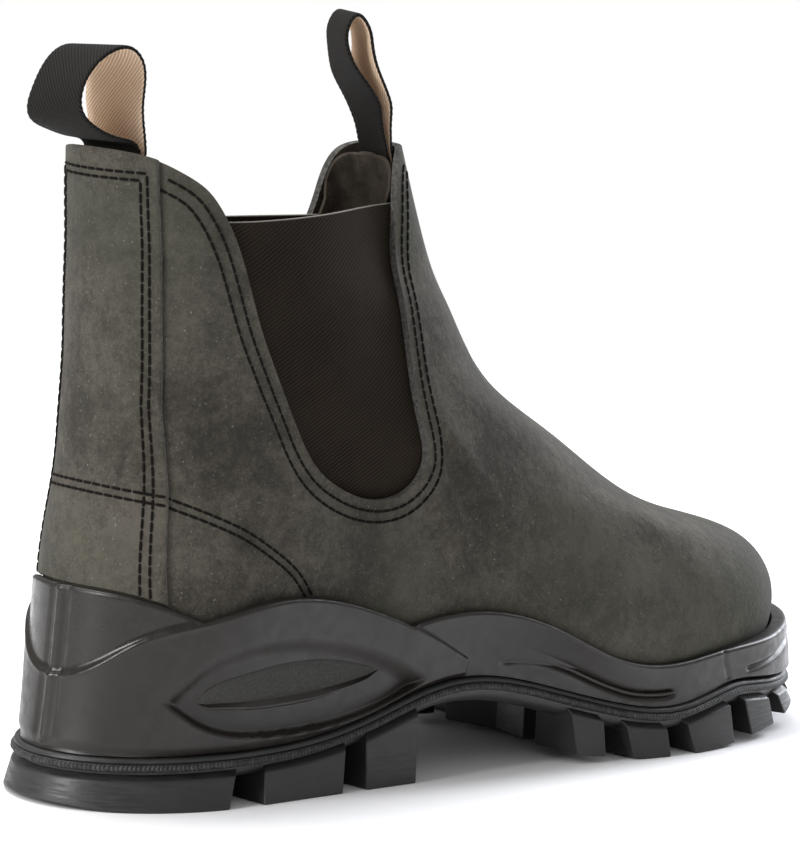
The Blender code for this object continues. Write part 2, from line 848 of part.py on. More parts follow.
def make_outsole():
    turns = ring_turns(COLUMNS)
    bead = RIM_HEIGHT / 4
    rings = [
        sole_ring(turns, plate_under, -2 * PLATE_INSET),
        sole_ring(turns, lambda x: plate_under(x) + PLATE_THICKNESS / 3, -PLATE_INSET),
        sole_ring(turns, lambda x: rim_height(x) - 2 * bead, -PLATE_INSET),
        sole_ring(turns, lambda x: rim_height(x) - bead, -RIM_INSET),
        sole_ring(turns, lambda x: rim_height(x) + bead, -RIM_INSET),
        sole_ring(turns, plate_top, -PLATE_INSET),
    ]
    outsole = ring_solid("outsole", rings, finish("outsole", (0.016, 0.015, 0.015), 0.5))
    vertices = []
    faces = []
    for start, end in lug_turns():
        steps = max(3, int(round((end - start) * COLUMNS / 2)) + 1)
        corners, quads = lug_bar(np.linspace(start, end, steps), len(vertices))
        vertices += corners
        faces += quads
    for start, end in CENTRE_LUGS:
        corners, quads = centre_bar(start, end, len(vertices))
        vertices += corners
        faces += quads
    boolean(outsole, make_object("lugs", vertices, faces), "UNION")


def make_loop(name, table, foot, turn, bend, gather, material):
    """A strip of webbing folded over, with both ends gathered and sewn inside the collar."""
    foot = np.array([x_at(foot[0]), foot[1] * SOLE_WIDTH, foot[2] * COLLAR_HEIGHT])
    table = np.array(table) * WEBBING_RISE
    outer_path = smooth_path(table[:, :2], 2)
    inner_path = smooth_path(table[:, -2:], 2)
    faces = []
    for side in (-0.5, 0.5):
        rows = []
        for w in np.linspace(-0.5, 0.5, WEBBING_COLUMNS):
            path = outer_path * (0.5 - w) + inner_path * (0.5 + w)
            edge = offset_path(path, side * WEBBING_WALL)
            up = edge[:, 1] / WEBBING_RISE
            straight = smooth_step(up / WEBBING_STRAIGHT)
            wide = smooth_step((up - WEBBING_GATHERED) / (WEBBING_WIDE - WEBBING_GATHERED))
            angle = math.radians(turn) * smooth_step(up / WEBBING_TURNED)
            across = w * WEBBING_WIDTH * (gather + (1 - gather) * wide)
            ahead = edge[:, 0] + (foot[1] + across) ** 2 / (2 * bend) * (1 - straight)
            x = foot[0] + ahead * np.cos(angle) + across * np.sin(angle)
            y = foot[1] - ahead * np.sin(angle) + across * np.cos(angle)
            rows.append(np.stack([x, y, foot[2] + edge[:, 1]], axis=1))
        faces.append(np.stack(rows, axis=1))
    shell_solid(name, faces[0], faces[1], material, closed=False)


def clear():
    for thing in list(bpy.data.objects):
        bpy.data.objects.remove(thing)


def main():
    clear()
    cutter = opening_cutter()
    make_outsole()
    make_midsole()
    make_upper(cutter)
    make_backstay(cutter)
    make_gores()
    make_insole()
    webbing = finish("webbing", (0.018, 0.017, 0.016), 0.8)
    back = (BACK_LOOP, BACK_LOOP_FOOT, 0.0, BACK_BEND, BACK_GATHER)
    front = (FRONT_LOOP, FRONT_LOOP_FOOT, FRONT_LOOP_TURN, -FRONT_BEND, FRONT_GATHER)
    make_loop("pull_loop_back", *back, webbing)
    make_loop("pull_loop_front", *front, webbing)


if __name__ == "__main__":
    main()
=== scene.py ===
"""Looks of the side gore work boot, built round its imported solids.

Metres, +Z up: the toe points along +X, the little-toe side faces -Y, and the floor is z = 0.
"""

import math

import bmesh
import bpy
import numpy as np
from mathutils import Matrix, Vector
from mathutils.bvhtree import BVHTree


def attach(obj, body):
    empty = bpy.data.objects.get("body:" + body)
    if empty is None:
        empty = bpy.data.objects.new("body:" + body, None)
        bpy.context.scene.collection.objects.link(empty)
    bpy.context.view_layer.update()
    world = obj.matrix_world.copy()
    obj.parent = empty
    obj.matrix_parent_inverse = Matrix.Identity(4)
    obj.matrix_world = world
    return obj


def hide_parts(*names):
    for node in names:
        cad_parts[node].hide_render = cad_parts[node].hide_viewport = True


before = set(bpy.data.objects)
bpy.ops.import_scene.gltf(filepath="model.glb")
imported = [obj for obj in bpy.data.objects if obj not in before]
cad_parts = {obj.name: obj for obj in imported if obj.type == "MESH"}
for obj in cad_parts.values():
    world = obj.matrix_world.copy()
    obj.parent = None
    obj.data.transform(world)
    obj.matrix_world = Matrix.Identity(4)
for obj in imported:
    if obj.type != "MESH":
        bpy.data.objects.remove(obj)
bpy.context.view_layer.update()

# Sizes shared with the solids
SOLE_LENGTH = 0.300
SOLE_WIDTH = 0.108
COLLAR_HEIGHT = 0.180
HEEL_CENTRE = 0.042
UPPER_WALL = 0.0022
FIT_GAP = 0.0003
CUP_GAP = 0.0005
BACKSTAY_WALL = 0.0012
BACKSTAY_HALF_WIDTH = 0.022
GORE_WALL = 0.0016
GORE_OVERLAP = 0.007
INNER_GORE_DROP = 0.006
INSOLE_THICKNESS = 0.005
LIP_WIDTH = 0.0024
STEP_DEPTH = 0.0010
EYE_DEPTH = 0.0028
BUMPER_STEP = 0.0026
RIM_HEIGHT = 0.0036
RIM_INSET = 0.0018
PLATE_INSET = 0.0042
PLATE_THICKNESS = 0.0060
LUG_FLARE = 0.0014
TREAD_GAP = 0.0060
WEBBING_WIDTH = 0.024
WEBBING_WALL = 0.0013
WEBBING_RISE = 0.0285
SCALLOP_PITCH = 0.0017
SCALLOP_REACH = 0.00012
SELVEDGE = 0.47

# Tables of the shape, in shares of SOLE_LENGTH, SOLE_WIDTH and COLLAR_HEIGHT
OUTLINE = (  # along, half width, centre
    (0.00, 0.338, -0.010), (0.12, 0.346, -0.010), (0.25, 0.348, -0.016), (0.38, 0.343, -0.032),
    (0.50, 0.361, -0.042), (0.58, 0.398, -0.042), (0.65, 0.449, -0.032), (0.72, 0.491, -0.016),
    (0.80, 0.498, 0.010), (0.90, 0.492, 0.030), (1.00, 0.472, 0.042),
)
HEEL_ROUND = 0.165
HEEL_POWER = 2.0
TOE_ROUND = 0.245
TOE_POWER = 2.6
BED = (  # along, height
    (0.00, 0.183), (0.15, 0.178), (0.35, 0.178), (0.46, 0.178), (0.58, 0.156), (0.68, 0.124),
    (0.80, 0.118), (1.00, 0.128),
)
RIM = (  # along, height
    (0.00, 0.070), (0.06, 0.071), (0.13, 0.073), (0.22, 0.076), (0.32, 0.103), (0.41, 0.143),
    (0.48, 0.144), (0.55, 0.118), (0.62, 0.087), (0.70, 0.070), (0.76, 0.085), (0.80, 0.094),
    (0.87, 0.086), (1.00, 0.086),
)
TREAD = (  # along, height
    (0.000, 0.008), (0.035, 0.000), (0.400, 0.000), (0.550, 0.020), (0.610, 0.010), (0.660, 0.000),
    (0.750, 0.000), (0.800, 0.006), (0.880, 0.020), (0.950, 0.038), (1.000, 0.050),
)
HEEL_WAVE = (  # along, height
    (0.00, 0.326), (0.04, 0.333), (0.08, 0.316), (0.12, 0.285), (0.18, 0.236),
)
SHANK_WAVE = (  # along, height
    (0.00, 0.170), (0.02, 0.190), (0.05, 0.245), (0.10, 0.286), (0.15, 0.309), (0.22, 0.318),
    (0.29, 0.297), (0.36, 0.256), (0.44, 0.190),
)
FORE_WAVE = (  # along, height
    (0.32, 0.235), (0.39, 0.264), (0.46, 0.268), (0.53, 0.237), (0.61, 0.178), (0.68, 0.153),
    (0.77, 0.162), (0.87, 0.176), (0.94, 0.190), (1.00, 0.200),
)
EYE = (  # along, height
    (0.077, 0.169), (0.118, 0.237), (0.180, 0.262), (0.264, 0.250), (0.345, 0.208), (0.393, 0.165),
    (0.330, 0.120), (0.265, 0.103), (0.180, 0.102), (0.110, 0.128),
)
HEEL_LUGS = (  # from, to
    (0.177, 0.283), (0.307, 0.377),
)
FORE_LUGS = (  # from, to
    (0.572, 0.613), (0.640, 0.693), (0.720, 0.793), (0.820, 0.875), (0.900, 0.945),
)
END_LUG_REACH = 0.143
TOE_LUG_REACH = 0.033
LUG_DEPTH = 0.42
CENTRE_LUGS = (  # from, to
    (0.095, 0.185), (0.215, 0.290), (0.590, 0.635), (0.665, 0.715), (0.745, 0.800), (0.830, 0.880),
)
CENTRE_HALF = 0.36
LUG_CORE = (0.11, 0.87)
LEVELS = (
    # back x, back z, front x, front z, heel, waist, joint, ball, tip, heel round, toe round, power, bed
    (0.052, 0.183, 0.953, 0.128, 0.287, 0.270, 0.375, 0.417, 0.405, 0.140, 0.185, 2.4, 1.00),
    (0.044, 0.250, 0.963, 0.189, 0.315, 0.306, 0.407, 0.450, 0.430, 0.145, 0.195, 2.4, 0.50),
    (0.038, 0.317, 0.963, 0.256, 0.319, 0.315, 0.407, 0.442, 0.425, 0.145, 0.200, 2.3, 0.20),
    (0.043, 0.406, 0.938, 0.314, 0.315, 0.324, 0.384, 0.392, 0.380, 0.140, 0.205, 2.1, 0.00),
    (0.052, 0.500, 0.870, 0.352, 0.306, 0.329, 0.356, 0.350, 0.310, 0.135, 0.200, 2.0, 0.00),
    (0.055, 0.589, 0.757, 0.408, 0.301, 0.333, 0.338, 0.306, 0.278, 0.130, 0.185, 2.0, 0.00),
    (0.056, 0.678, 0.644, 0.514, 0.296, 0.333, 0.315, 0.275, 0.245, 0.130, 0.160, 2.0, 0.00),
    (0.055, 0.767, 0.546, 0.614, 0.292, 0.324, 0.300, 0.254, 0.215, 0.125, 0.127, 2.0, 0.00),
    (0.054, 0.856, 0.488, 0.731, 0.287, 0.312, 0.280, 0.225, 0.182, 0.120, 0.093, 2.4, 0.00),
    (0.051, 0.933, 0.455, 0.833, 0.282, 0.296, 0.250, 0.180, 0.148, 0.115, 0.073, 2.6, 0.00),
    (0.047, 1.067, 0.406, 1.067, 0.278, 0.287, 0.231, 0.153, 0.111, 0.113, 0.060, 2.6, 0.00),
)
SLICE_STATIONS = (0.12, 0.35, 0.60, 0.80, 1.00)
LEATHER_EDGE = (  # along, height
    (0.000, 1.000), (0.050, 0.997), (0.070, 0.986), (0.088, 0.969), (0.107, 0.946), (0.122, 0.913),
    (0.135, 0.872), (0.163, 0.737), (0.203, 0.602), (0.238, 0.515), (0.273, 0.477), (0.313, 0.459),
    (0.352, 0.474), (0.370, 0.519), (0.365, 0.583), (0.362, 0.672), (0.368, 0.806), (0.380, 0.900),
    (0.386, 0.955), (0.396, 0.985), (0.412, 0.998), (0.440, 1.000), (0.520, 1.000),
)
GORE_TOP = (  # along, height
    (0.06, 0.892), (0.13, 0.894), (0.38, 0.908), (0.46, 0.910),
)
BACK_LOOP = (  # forward, up, forward on the inner side, up on the inner side
    (0.12, -0.45, 0.12, -0.45), (0.11, 0.03, 0.11, 0.03), (0.11, 0.30, 0.11, 0.30),
    (0.12, 0.60, 0.12, 0.58), (0.08, 0.86, 0.08, 0.83), (-0.06, 0.98, -0.06, 0.94),
    (-0.30, 0.96, -0.29, 0.90), (-0.54, 0.80, -0.47, 0.71), (-0.66, 0.58, -0.59, 0.48),
    (-0.64, 0.38, -0.63, 0.28), (-0.46, 0.22, -0.46, 0.18), (-0.20, 0.13, -0.20, 0.11),
    (0.00, 0.06, 0.00, 0.05), (0.05, -0.08, 0.05, -0.08), (0.05, -0.45, 0.05, -0.45),
)
# The front loop's sewn ends lean with the collar's wall here. The solid's hang straight down.
FRONT_LOOP = (  # forward, up
    (0.14, -0.45), (0.00, 0.04), (-0.09, 0.40), (-0.21, 0.75), (-0.26, 1.08), (-0.33, 1.28),
    (-0.42, 1.35), (-0.50, 1.26), (-0.51, 1.03), (-0.42, 0.76), (-0.30, 0.56), (-0.17, 0.28),
    (-0.07, 0.04), (0.07, -0.45),
)
BACK_LOOP_FOOT = (0.0597, 0.0046, 0.9944)
FRONT_LOOP_FOOT = (0.4063, -0.0200, 0.9889)
FRONT_LOOP_TURN = 31.0
BACK_BEND = 0.028
FRONT_BEND = 0.014
BACK_GATHER = 0.95
FRONT_GATHER = 0.54
WEBBING_STRAIGHT = 0.5
WEBBING_TURNED = 1.1
WEBBING_GATHERED = 0.2
WEBBING_WIDE = 0.8
WALL_SWELL = (  # along, power
    (0.00, 0.50), (0.12, 0.55), (0.35, 1.00), (0.60, 1.70), (0.85, 1.60), (1.00, 1.10),
)
BUMPER_START = 0.760
BUMPER_BLEND = 0.100
BACKSTAY_FLARE = (  # height, width
    (0.18, 1.50), (0.32, 1.38), (0.48, 1.20), (0.62, 1.02), (0.80, 0.97), (1.07, 0.88),
)
CURVE_FULL = 0.2
CURVE_GONE = 0.8
CUT_TOP = 1.3
SAMPLES = 400

# Lines of the midsole's relief and the counter's stitching, in metres from the heel's back edge and the floor
S_GROOVE = (  # along, height
    (0.1440, 0.0318), (0.1500, 0.0327), (0.1570, 0.0322), (0.1642, 0.0302), (0.1712, 0.0277),
    (0.1785, 0.0246), (0.1860, 0.0217), (0.1933, 0.0195), (0.2004, 0.0185), (0.2077, 0.0184),
    (0.2120, 0.0188),
)
BUMPER_ARC = (  # along, height
    (0.2440, 0.0222), (0.2495, 0.0226), (0.2560, 0.0236), (0.2640, 0.0252), (0.2740, 0.0276),
    (0.2850, 0.0292),
)
BUMPER_LINE = (  # along, height
    (0.2322, 0.0300), (0.2330, 0.0270), (0.2345, 0.0235), (0.2365, 0.0195),
)
PANEL_TOP = (  # along, height
    (0.0330, 0.0296), (0.0338, 0.0318), (0.0360, 0.0338), (0.0434, 0.0363), (0.0548, 0.0380),
    (0.0650, 0.0388), (0.0793, 0.0382), (0.0900, 0.0362), (0.0990, 0.0335),
)
PANEL_FOOT = (  # along, height
    (0.0330, 0.0296), (0.0342, 0.0286), (0.0370, 0.0280), (0.0445, 0.0273), (0.0558, 0.0268),
    (0.0698, 0.0271), (0.0805, 0.0284), (0.0900, 0.0305), (0.0990, 0.0335),
)
COUNTER_ROW = (  # along, height
    (0.0250, 0.0863), (0.0284, 0.0848), (0.0349, 0.0821), (0.0400, 0.0799), (0.0460, 0.0771),
    (0.0553, 0.0716), (0.0669, 0.0631), (0.0716, 0.0572),
)

# Each groove's line, half width and depth
GROOVES = ((S_GROOVE, 0.0013, 0.0013), (BUMPER_ARC, 0.0009, 0.0012), (BUMPER_LINE, 0.0006, 0.0005))

# A groove and its bead fade out over one part in this many of their length, at each end
GROOVE_END = 12
BEAD_END = 10
BEAD_SINK = 0.0005
BEAD_END_RADIUS = 0.00015
BEAD_SWELL = 0.00050

# The scoop's slopes from its upper and lower edge, and how it deepens towards the lower
SCOOP_TOP_SLOPE = 0.0065
SCOOP_FOOT_SLOPE = 0.0016
SCOOP_LEAST = 0.88
SCOOP_MORE = 0.27
SCOOP_REACH = 0.005

# Rib at the back of the heel and the groove on each side of it, and the bead under the heel cup
SPINE_WIDTH = 0.0012
SPINE_RISE = 0.0009
SPINE_GROOVE_OFF = 0.0030
SPINE_GROOVE_WIDTH = 0.0008
SPINE_GROOVE_DEPTH = 0.0006
SPINE_END = 0.08
CUP_END = 0.125
CUP_BEAD_WIDTH = 0.0007
CUP_BEAD_RISE = 0.0006
LIP_ROLL = 0.0011

# The inlay's rows: share of the way up and how far it stands out. The first ones make its foam lip.
PANEL_ROWS = (  # share, lift
    (0.0, -0.0016), (0.0, 0.0014), (0.05, 0.0021), (0.11, 0.0021), (0.17, 0.0014), (0.22, 0.0007),
    (0.4, 0.0006), (0.6, 0.0005), (0.8, 0.0004), (0.96, 0.0003), (1.0, 0.0001), (1.0, -0.0016),
)
PANEL_LIP_ROWS = 5
PANEL_THIN = 0.004
SIDES = (("outer", -1), ("inner", 1))

# Edge lugs: the height of their top and shelf under the rim, and how far they taper to the floor
EDGE_SIDE = 0.370
LUG_TOP_DROP = 0.0044
LUG_TOP_IN = 0.0002
LUG_SHELF_DROP = 0.0024
LUG_SHELF_IN = 0.0016
LUG_TRIM = 0.0011
LUG_BEVEL = 0.0005

# Small rounded treads under the arch
SHANK_LUGS = (  # along, across, half length, half width, depth
    (0.405, 0.10, 0.0050, 0.0085, 0.0060), (0.455, 0.14, 0.0065, 0.0095, 0.0070),
    (0.512, 0.12, 0.0060, 0.0100, 0.0060), (0.430, -0.12, 0.0050, 0.0060, 0.0035),
)

# Rounded edge of the backstay, and the wall left there
STRIP_ROUND = 0.0009
STRIP_EDGE_WALL = 0.35

# Stitching
STITCH_PITCH = 0.0030
STITCH_LENGTH = 0.0028
STITCH_RADIUS = 0.00040
STITCH_ARCH = 0.9
STITCH_SINK = 0.55
SEAM_IN = 0.0032
SEAM_APART = 0.0031
STRIP_SEAM_IN = 0.0035
STRIP_SEAM_APART = 0.0020
STRIP_SEAM_TOP = 0.1738
COUNTER_TOP = 0.0882
COUNTER_APART = 0.0023
COUNTER_SAG = 3.5
GORE_THREAD_RADIUS = 0.00032

# Lining over the sewn ends of the loops
FACING_WALL = 0.0010
FACING_LEVEL = 0.70
FACING_BACK_HALF = 0.036
FACING_BACK_DEPTH = 0.0072
FACING_FRONT_HALF = 0.034
FACING_FRONT_DEPTH = 0.0078

# Soft troughs of the leather, each with a low ridge beside it. Both sides have them.
CREASES = (  # along, height, half length, half height, slant, depth
    (0.400, 0.520, 0.013, 0.0035, -55.0, 0.0007), (0.425, 0.455, 0.014, 0.0035, -48.0, 0.0008),
    (0.455, 0.400, 0.015, 0.0040, -40.0, 0.0006), (0.120, 0.600, 0.016, 0.0060, 10.0, 0.0006),
    (0.150, 0.450, 0.014, 0.0050, -15.0, 0.0005), (0.700, 0.300, 0.020, 0.0050, -35.0, 0.0005),
)

# The camera, fitted to the photograph in design millimetres and turned into the frame's metres
CAMERA_AZIMUTH = -45.149
CAMERA_ELEVATION = 8.414
CAMERA_ROLL = 3.2565
CAMERA_DISTANCE = 1.2974
CAMERA_TARGET = (0.088, 0.0, 0.080)
CAMERA_FOCUS_PIXELS = 4437.1
PRINCIPAL_POINT = (377.23, 482.77)
PHOTO_SIZE = (800, 847)
SENSOR = 36.0

# The room's light on the boot, as a share of the white background's
ROOM_LIGHT = 0.45

# Area lights: name, place, target, size, power, colour
LIGHTS = (
    ("left", (-1.45, 0.10, 0.75), (0.02, 0, 0.05), (0.5, 1.0), 22.0, (1, 1, 1)),
    ("toe_side", (1.20, 0.10, 0.60), (0.20, 0, 0.04), (0.5, 1.0), 15.0, (0.90, 0.93, 1.0)),
    ("top", (0.05, 0.50, 1.50), (0.08, 0, 0.05), (1.3, 0.8), 24.0, (1, 1, 1)),
)

# The floor ends where it is still as white as the background
FLOOR_HALF = 0.85


def spline(knots, values, at):
    """Natural cubic spline through the knots, read at each place in at."""
    x = np.asarray(knots, float)
    y = np.asarray(values, float)
    at = np.clip(np.asarray(at, float), x[0], x[-1])
    h = np.diff(x)
    count = len(x)
    matrix = np.eye(count)
    right = np.zeros(count)
    for i in range(1, count - 1):
        matrix[i, i - 1 : i + 2] = h[i - 1], 2 * (h[i - 1] + h[i]), h[i]
        right[i] = 6 * ((y[i + 1] - y[i]) / h[i] - (y[i] - y[i - 1]) / h[i - 1])
    bend = np.linalg.solve(matrix, right)
    i = np.clip(np.searchsorted(x, at) - 1, 0, count - 2)
    a = (x[i + 1] - at) / h[i]
    b = (at - x[i]) / h[i]
    curve = (a**3 - a) * bend[i] + (b**3 - b) * bend[i + 1]
    return a * y[i] + b * y[i + 1] + curve * h[i] ** 2 / 6


def column(table, index):
    return [row[index] for row in table]


def read(table, along, index=1):
    """A column of a table, as a smooth function of its first column."""
    return spline(column(table, 0), column(table, index), along)


def straight(table, along):
    """A table's second column, read along straight lines."""
    return np.interp(along, column(table, 0), column(table, 1))


def smooth_step(value):
    t = np.clip(value, 0, 1)
    return t * t * (3 - 2 * t)


def faded_ends(where, steepness):
    """1 along a path, falling softly to 0 at both of its ends."""
    return smooth_step(where * steepness) * smooth_step((1 - where) * steepness)


def bell(distance, width):
    return np.exp(-((distance / width) ** 2))


def rounded_end(run, length, power):
    """Share of the full width at a distance run from a rounded end."""
    t = np.clip(run / length, 0, 1)
    return (1 - (1 - t) ** power) ** (1 / power)


def share_of(x):
    """Share of the sole's length, from the heel's back edge, at x."""
    return (x + HEEL_CENTRE) / SOLE_LENGTH


def x_at(share):
    return share * SOLE_LENGTH - HEEL_CENTRE


def bed_height(x):
    return read(BED, share_of(x)) * COLLAR_HEIGHT


def rim_height(x):
    return read(RIM, share_of(x)) * COLLAR_HEIGHT


def plate_top(x):
    return rim_height(x) + RIM_HEIGHT / 2


def plate_under(x):
    return rim_height(x) - PLATE_THICKNESS


def tread_height(x):
    return straight(TREAD, share_of(x)) * COLLAR_HEIGHT


def wave(table, x, missing):
    s = share_of(x)
    inside = (s >= table[0][0]) & (s <= table[-1][0])
    return np.where(inside, read(table, s) * COLLAR_HEIGHT, missing)


def shank_height(x):
    return wave(SHANK_WAVE, x, 0.0)


def wave_height(x):
    """Top line of the midsole."""
    heel = wave(HEEL_WAVE, x, 0.0)
    fore = wave(FORE_WAVE, x, 0.0)
    return np.maximum(np.maximum(heel, shank_height(x)), fore)


def fine_run():
    """Places from 0 to 1, close together at both ends."""
    return (1 - np.cos(np.linspace(0, math.pi, SAMPLES))) / 2


def turn_share(turn):
    """Signed share of a ring's side for a turn round it: 0 at the heel, 1 at the toe, 2 at the heel."""
    turn = np.asarray(turn, float)
    return np.where(turn > 1, 2 - turn, -turn)


def ring_turns(count):
    return np.arange(count) * 2 / count


def ring_at(half_line, shares):
    """Points of a ring at signed shares of its two sides: minus is the outer side, plus the inner."""
    x, middle, half, z = half_line
    run = run_along(np.stack([x, half, z], axis=1))
    shares = np.asarray(shares, float)
    at = np.abs(shares) * run[-1]
    side = np.where(shares > 0, 1.0, -1.0)
    y = np.interp(at, run, middle) + side * np.interp(at, run, half)
    return np.stack([np.interp(at, run, x), y, np.interp(at, run, z)], axis=1)


def half_length(half_line):
    x, _, half, z = half_line
    return float(run_along(np.stack([x, half, z], axis=1))[-1])


def middle_line(x):
    return read(OUTLINE, share_of(x), 2) * SOLE_WIDTH


def sole_ring(turns, height, grow=0.0):
    """The sole's plan outline moved outwards by grow, at a height that follows x."""
    s = fine_run()
    half = read(OUTLINE, s, 1) * SOLE_WIDTH
    half = half * rounded_end(s, HEEL_ROUND, HEEL_POWER) * rounded_end(1 - s, TOE_ROUND, TOE_POWER)
    x = x_at(s)
    along = np.gradient(x)
    out = np.gradient(half)
    size = np.hypot(along, out)
    wide = half + along / size * grow
    wide[0] = wide[-1] = 0.0
    long = x - out / size * grow
    ring = ring_at((long, middle_line(x), wide, x * 0), turn_share(turns))
    ring[:, 2] = height(ring[:, 0])
    return ring


def level_values(level):
    """The numbers of the table of levels, at a level from 0 to 1."""
    knots = np.linspace(0, 1, len(LEVELS))
    return [float(spline(knots, column(LEVELS, k), level)) for k in range(len(LEVELS[0]))]


def last_half(level):
    """Half of a slice of the last's outer surface, from its back point to its front point."""
    back_x, back_z, front_x, front_z, *widths = level_values(level)
    heel_round, toe_round, power, bed = widths[5:]
    run = fine_run()
    x = x_at(back_x + (front_x - back_x) * run)
    z = (back_z + (front_z - back_z) * run) * COLLAR_HEIGHT
    dip = bed_height(x) - bed_height(x[0]) - run * (bed_height(x[-1]) - bed_height(x[0]))
    z = z + bed * dip
    half = spline((0.0,) + SLICE_STATIONS, [widths[0]] + widths[:5], run) * SOLE_WIDTH
    length = (front_x - back_x) * SOLE_LENGTH
    half = half * rounded_end(run * length, heel_round * SOLE_LENGTH, HEEL_POWER)
    half = half * rounded_end((1 - run) * length, toe_round * SOLE_LENGTH, power)
    upright = np.interp(z / COLLAR_HEIGHT, (CURVE_FULL, CURVE_GONE), (0, 1))
    return x, middle_line(x) * (1 - upright), half, z


def last_grid(levels, turns):
    return np.stack([ring_at(last_half(level), turn_share(turns)) for level in levels])


def last_strip(levels, distances):
    """Part of the last's surface round the back seam, at signed distances that widen low down."""
    rows = []
    for level in levels:
        half = last_half(level)
        flare = straight(BACKSTAY_FLARE, half[3][0] / COLLAR_HEIGHT)
        rows.append(ring_at(half, -np.asarray(distances) * flare / half_length(half)))
    return np.stack(rows)


def normals(grid, closed):
    """Outward unit normals of a grid of rings."""
    if closed:
        around = np.roll(grid, -1, axis=1) - np.roll(grid, 1, axis=1)
    else:
        around = np.gradient(grid, axis=1)
    out = np.cross(around, np.gradient(grid, axis=0))
    return unit(out)


def rows_at(grid, height):
    """Row, as a fraction, at which each column of a grid first rises to a height that follows x."""
    over = grid[:, :, 2] - height(grid[:, :, 0])
    rows = np.zeros(grid.shape[1])
    for i in range(grid.shape[1]):
        j = max(int(np.argmax(over[:, i] > 0)), 1)
        rows[i] = j - over[j, i] / (over[j, i] - over[j - 1, i])
    return rows


def sample(grid, rows):
    """Points of a grid at a fractional row of each column."""
    low = np.clip(np.floor(rows).astype(int), 0, len(grid) - 2)
    part = (rows - low)[:, None]
    index = np.arange(grid.shape[1])
    return grid[low, index] * (1 - part) + grid[low + 1, index] * part


def run_along(points):
    """Distance along a path to each of its points."""
    return np.concatenate([[0], np.cumsum(np.linalg.norm(np.diff(points, axis=0), axis=1))])


def unit(vectors):
    return vectors / np.linalg.norm(vectors, axis=-1, keepdims=True)


def smooth_path(points, per_span):
    """A curve through a short list of points, with its knots spaced by distance."""
    points = np.asarray(points, float)
    run = run_along(points)
    spans = zip(run[:-1], run[1:])
    at = np.concatenate([np.linspace(a, b, per_span, endpoint=False) for a, b in spans] + [run[-1:]])
    return np.stack([spline(run, points[:, k], at) for k in range(points.shape[1])], axis=1)


def in_metres(table):
    return [(x_at(along), height * COLLAR_HEIGHT) for along, height in table]


def from_heel(table):
    """A table of lengths from the heel's back edge, in the frame's own x."""
    return [(along - HEEL_CENTRE, height) for along, height in table]


def offset_path(path, distance):
    """A side view's path moved to the right of its own direction."""
    step = unit(np.gradient(path, axis=0))
    return path + np.stack([step[:, 1], -step[:, 0]], axis=1) * distance


def spread_at(vectors, run, at):
    """Vectors read at places along a path."""
    return np.stack([np.interp(at, run, vectors[:, k]) for k in range(3)], axis=1)


def even_path(points, pitch):
    """A path's points and directions at even steps along it."""
    run = run_along(points)
    count = max(int(run[-1] / pitch), 2)
    at = (np.arange(count) + 0.5) * run[-1] / count
    back, front = (spread_at(points, run, at + d) for d in (-pitch / 3, pitch / 3))
    return (back + front) / 2, unit(front - back)


def path_distance(points, path):
    """Distance in the side view from each point to a path, and the share of the path reached there."""
    best = np.full(len(points), 1e9)
    where = np.zeros(len(points))
    for i, (a, b) in enumerate(zip(path[:-1], path[1:])):
        d = b - a
        t = np.clip(((points - a) @ d) / (d @ d), 0, 1)
        far = np.linalg.norm(points - a - t[:, None] * d, axis=1)
        near = far < best
        best[near] = far[near]
        where[near] = (i + t[near]) / (len(path) - 1)
    return best, where


def grid_faces(count, width, closed_round, closed_along, first=0):
    """Quads over a grid of count rows."""
    j, i = np.meshgrid(
        np.arange(count if closed_along else count - 1),
        np.arange(width if closed_round else width - 1),
        indexing="ij",
    )
    k = (j + 1) % count
    m = (i + 1) % width
    quads = np.stack([j * width + i, j * width + m, k * width + m, k * width + i], axis=-1)
    return first + quads.reshape(-1, 4)


def span(start, count):
    """Faces from the outer side to the inner side of a ring."""
    half = count // 2
    faces = [(start, start + 1, start + count - 1)]
    for i in range(1, half - 1):
        faces.append((start + i, start + i + 1, start + count - i - 1, start + count - i))
    faces.append((start + half - 1, start + half, start + half + 1))
    return faces


def capped(rings):
    """Points and faces of closed rings, with a cap on the first and on the last."""
    width = len(rings[0])
    sides = [tuple(f) for f in grid_faces(len(rings), width, True, False)]
    return np.concatenate(rings), sides + span(0, width) + span((len(rings) - 1) * width, width)


def sheet_points(front, rear):
    """Points of a closed sheet: the rows of its front, then those of its rear in reverse order."""
    return np.concatenate([front.reshape(-1, 3), rear[::-1].reshape(-1, 3)])


def sheet_faces(rows, width):
    """Faces of a closed sheet: two grids of rows, the second in reverse order, and its two side edges."""
    faces = [tuple(f) for f in grid_faces(2 * rows, width, False, True)]
    for i in (0, width - 1):
        for j in range(rows - 1):
            faces.append((j * width + i, (j + 1) * width + i, (2 * rows - 2 - j) * width + i,
                          (2 * rows - 1 - j) * width + i))
    return faces


def surface_tree(grid):
    """Search tree of a grid of closed rings."""
    faces = grid_faces(len(grid), grid.shape[1], True, False)
    return BVHTree.FromPolygons(grid.reshape(-1, 3).tolist(), faces.tolist())


def make_mesh(name, vertices, faces, slots=None, attributes=None):
    mesh = bpy.data.meshes.new(name)
    mesh.from_pydata(np.asarray(vertices).tolist(), [], [list(map(int, face)) for face in faces])
    if slots is not None:
        mesh.polygons.foreach_set("material_index", np.asarray(slots, dtype=np.int32))
    for key, values in (attributes or {}).items():
        layer = mesh.attributes.new(key, "FLOAT", "POINT")
        layer.data.foreach_set("value", np.asarray(values, dtype=np.float32).ravel())
    mesh.shade_smooth()
    return mesh


def outward(mesh):
    """Turns every face of a closed mesh outwards."""
    work = bmesh.new()
    work.from_mesh(mesh)
    bmesh.ops.recalc_face_normals(work, faces=work.faces)
    work.to_mesh(mesh)
    work.free()


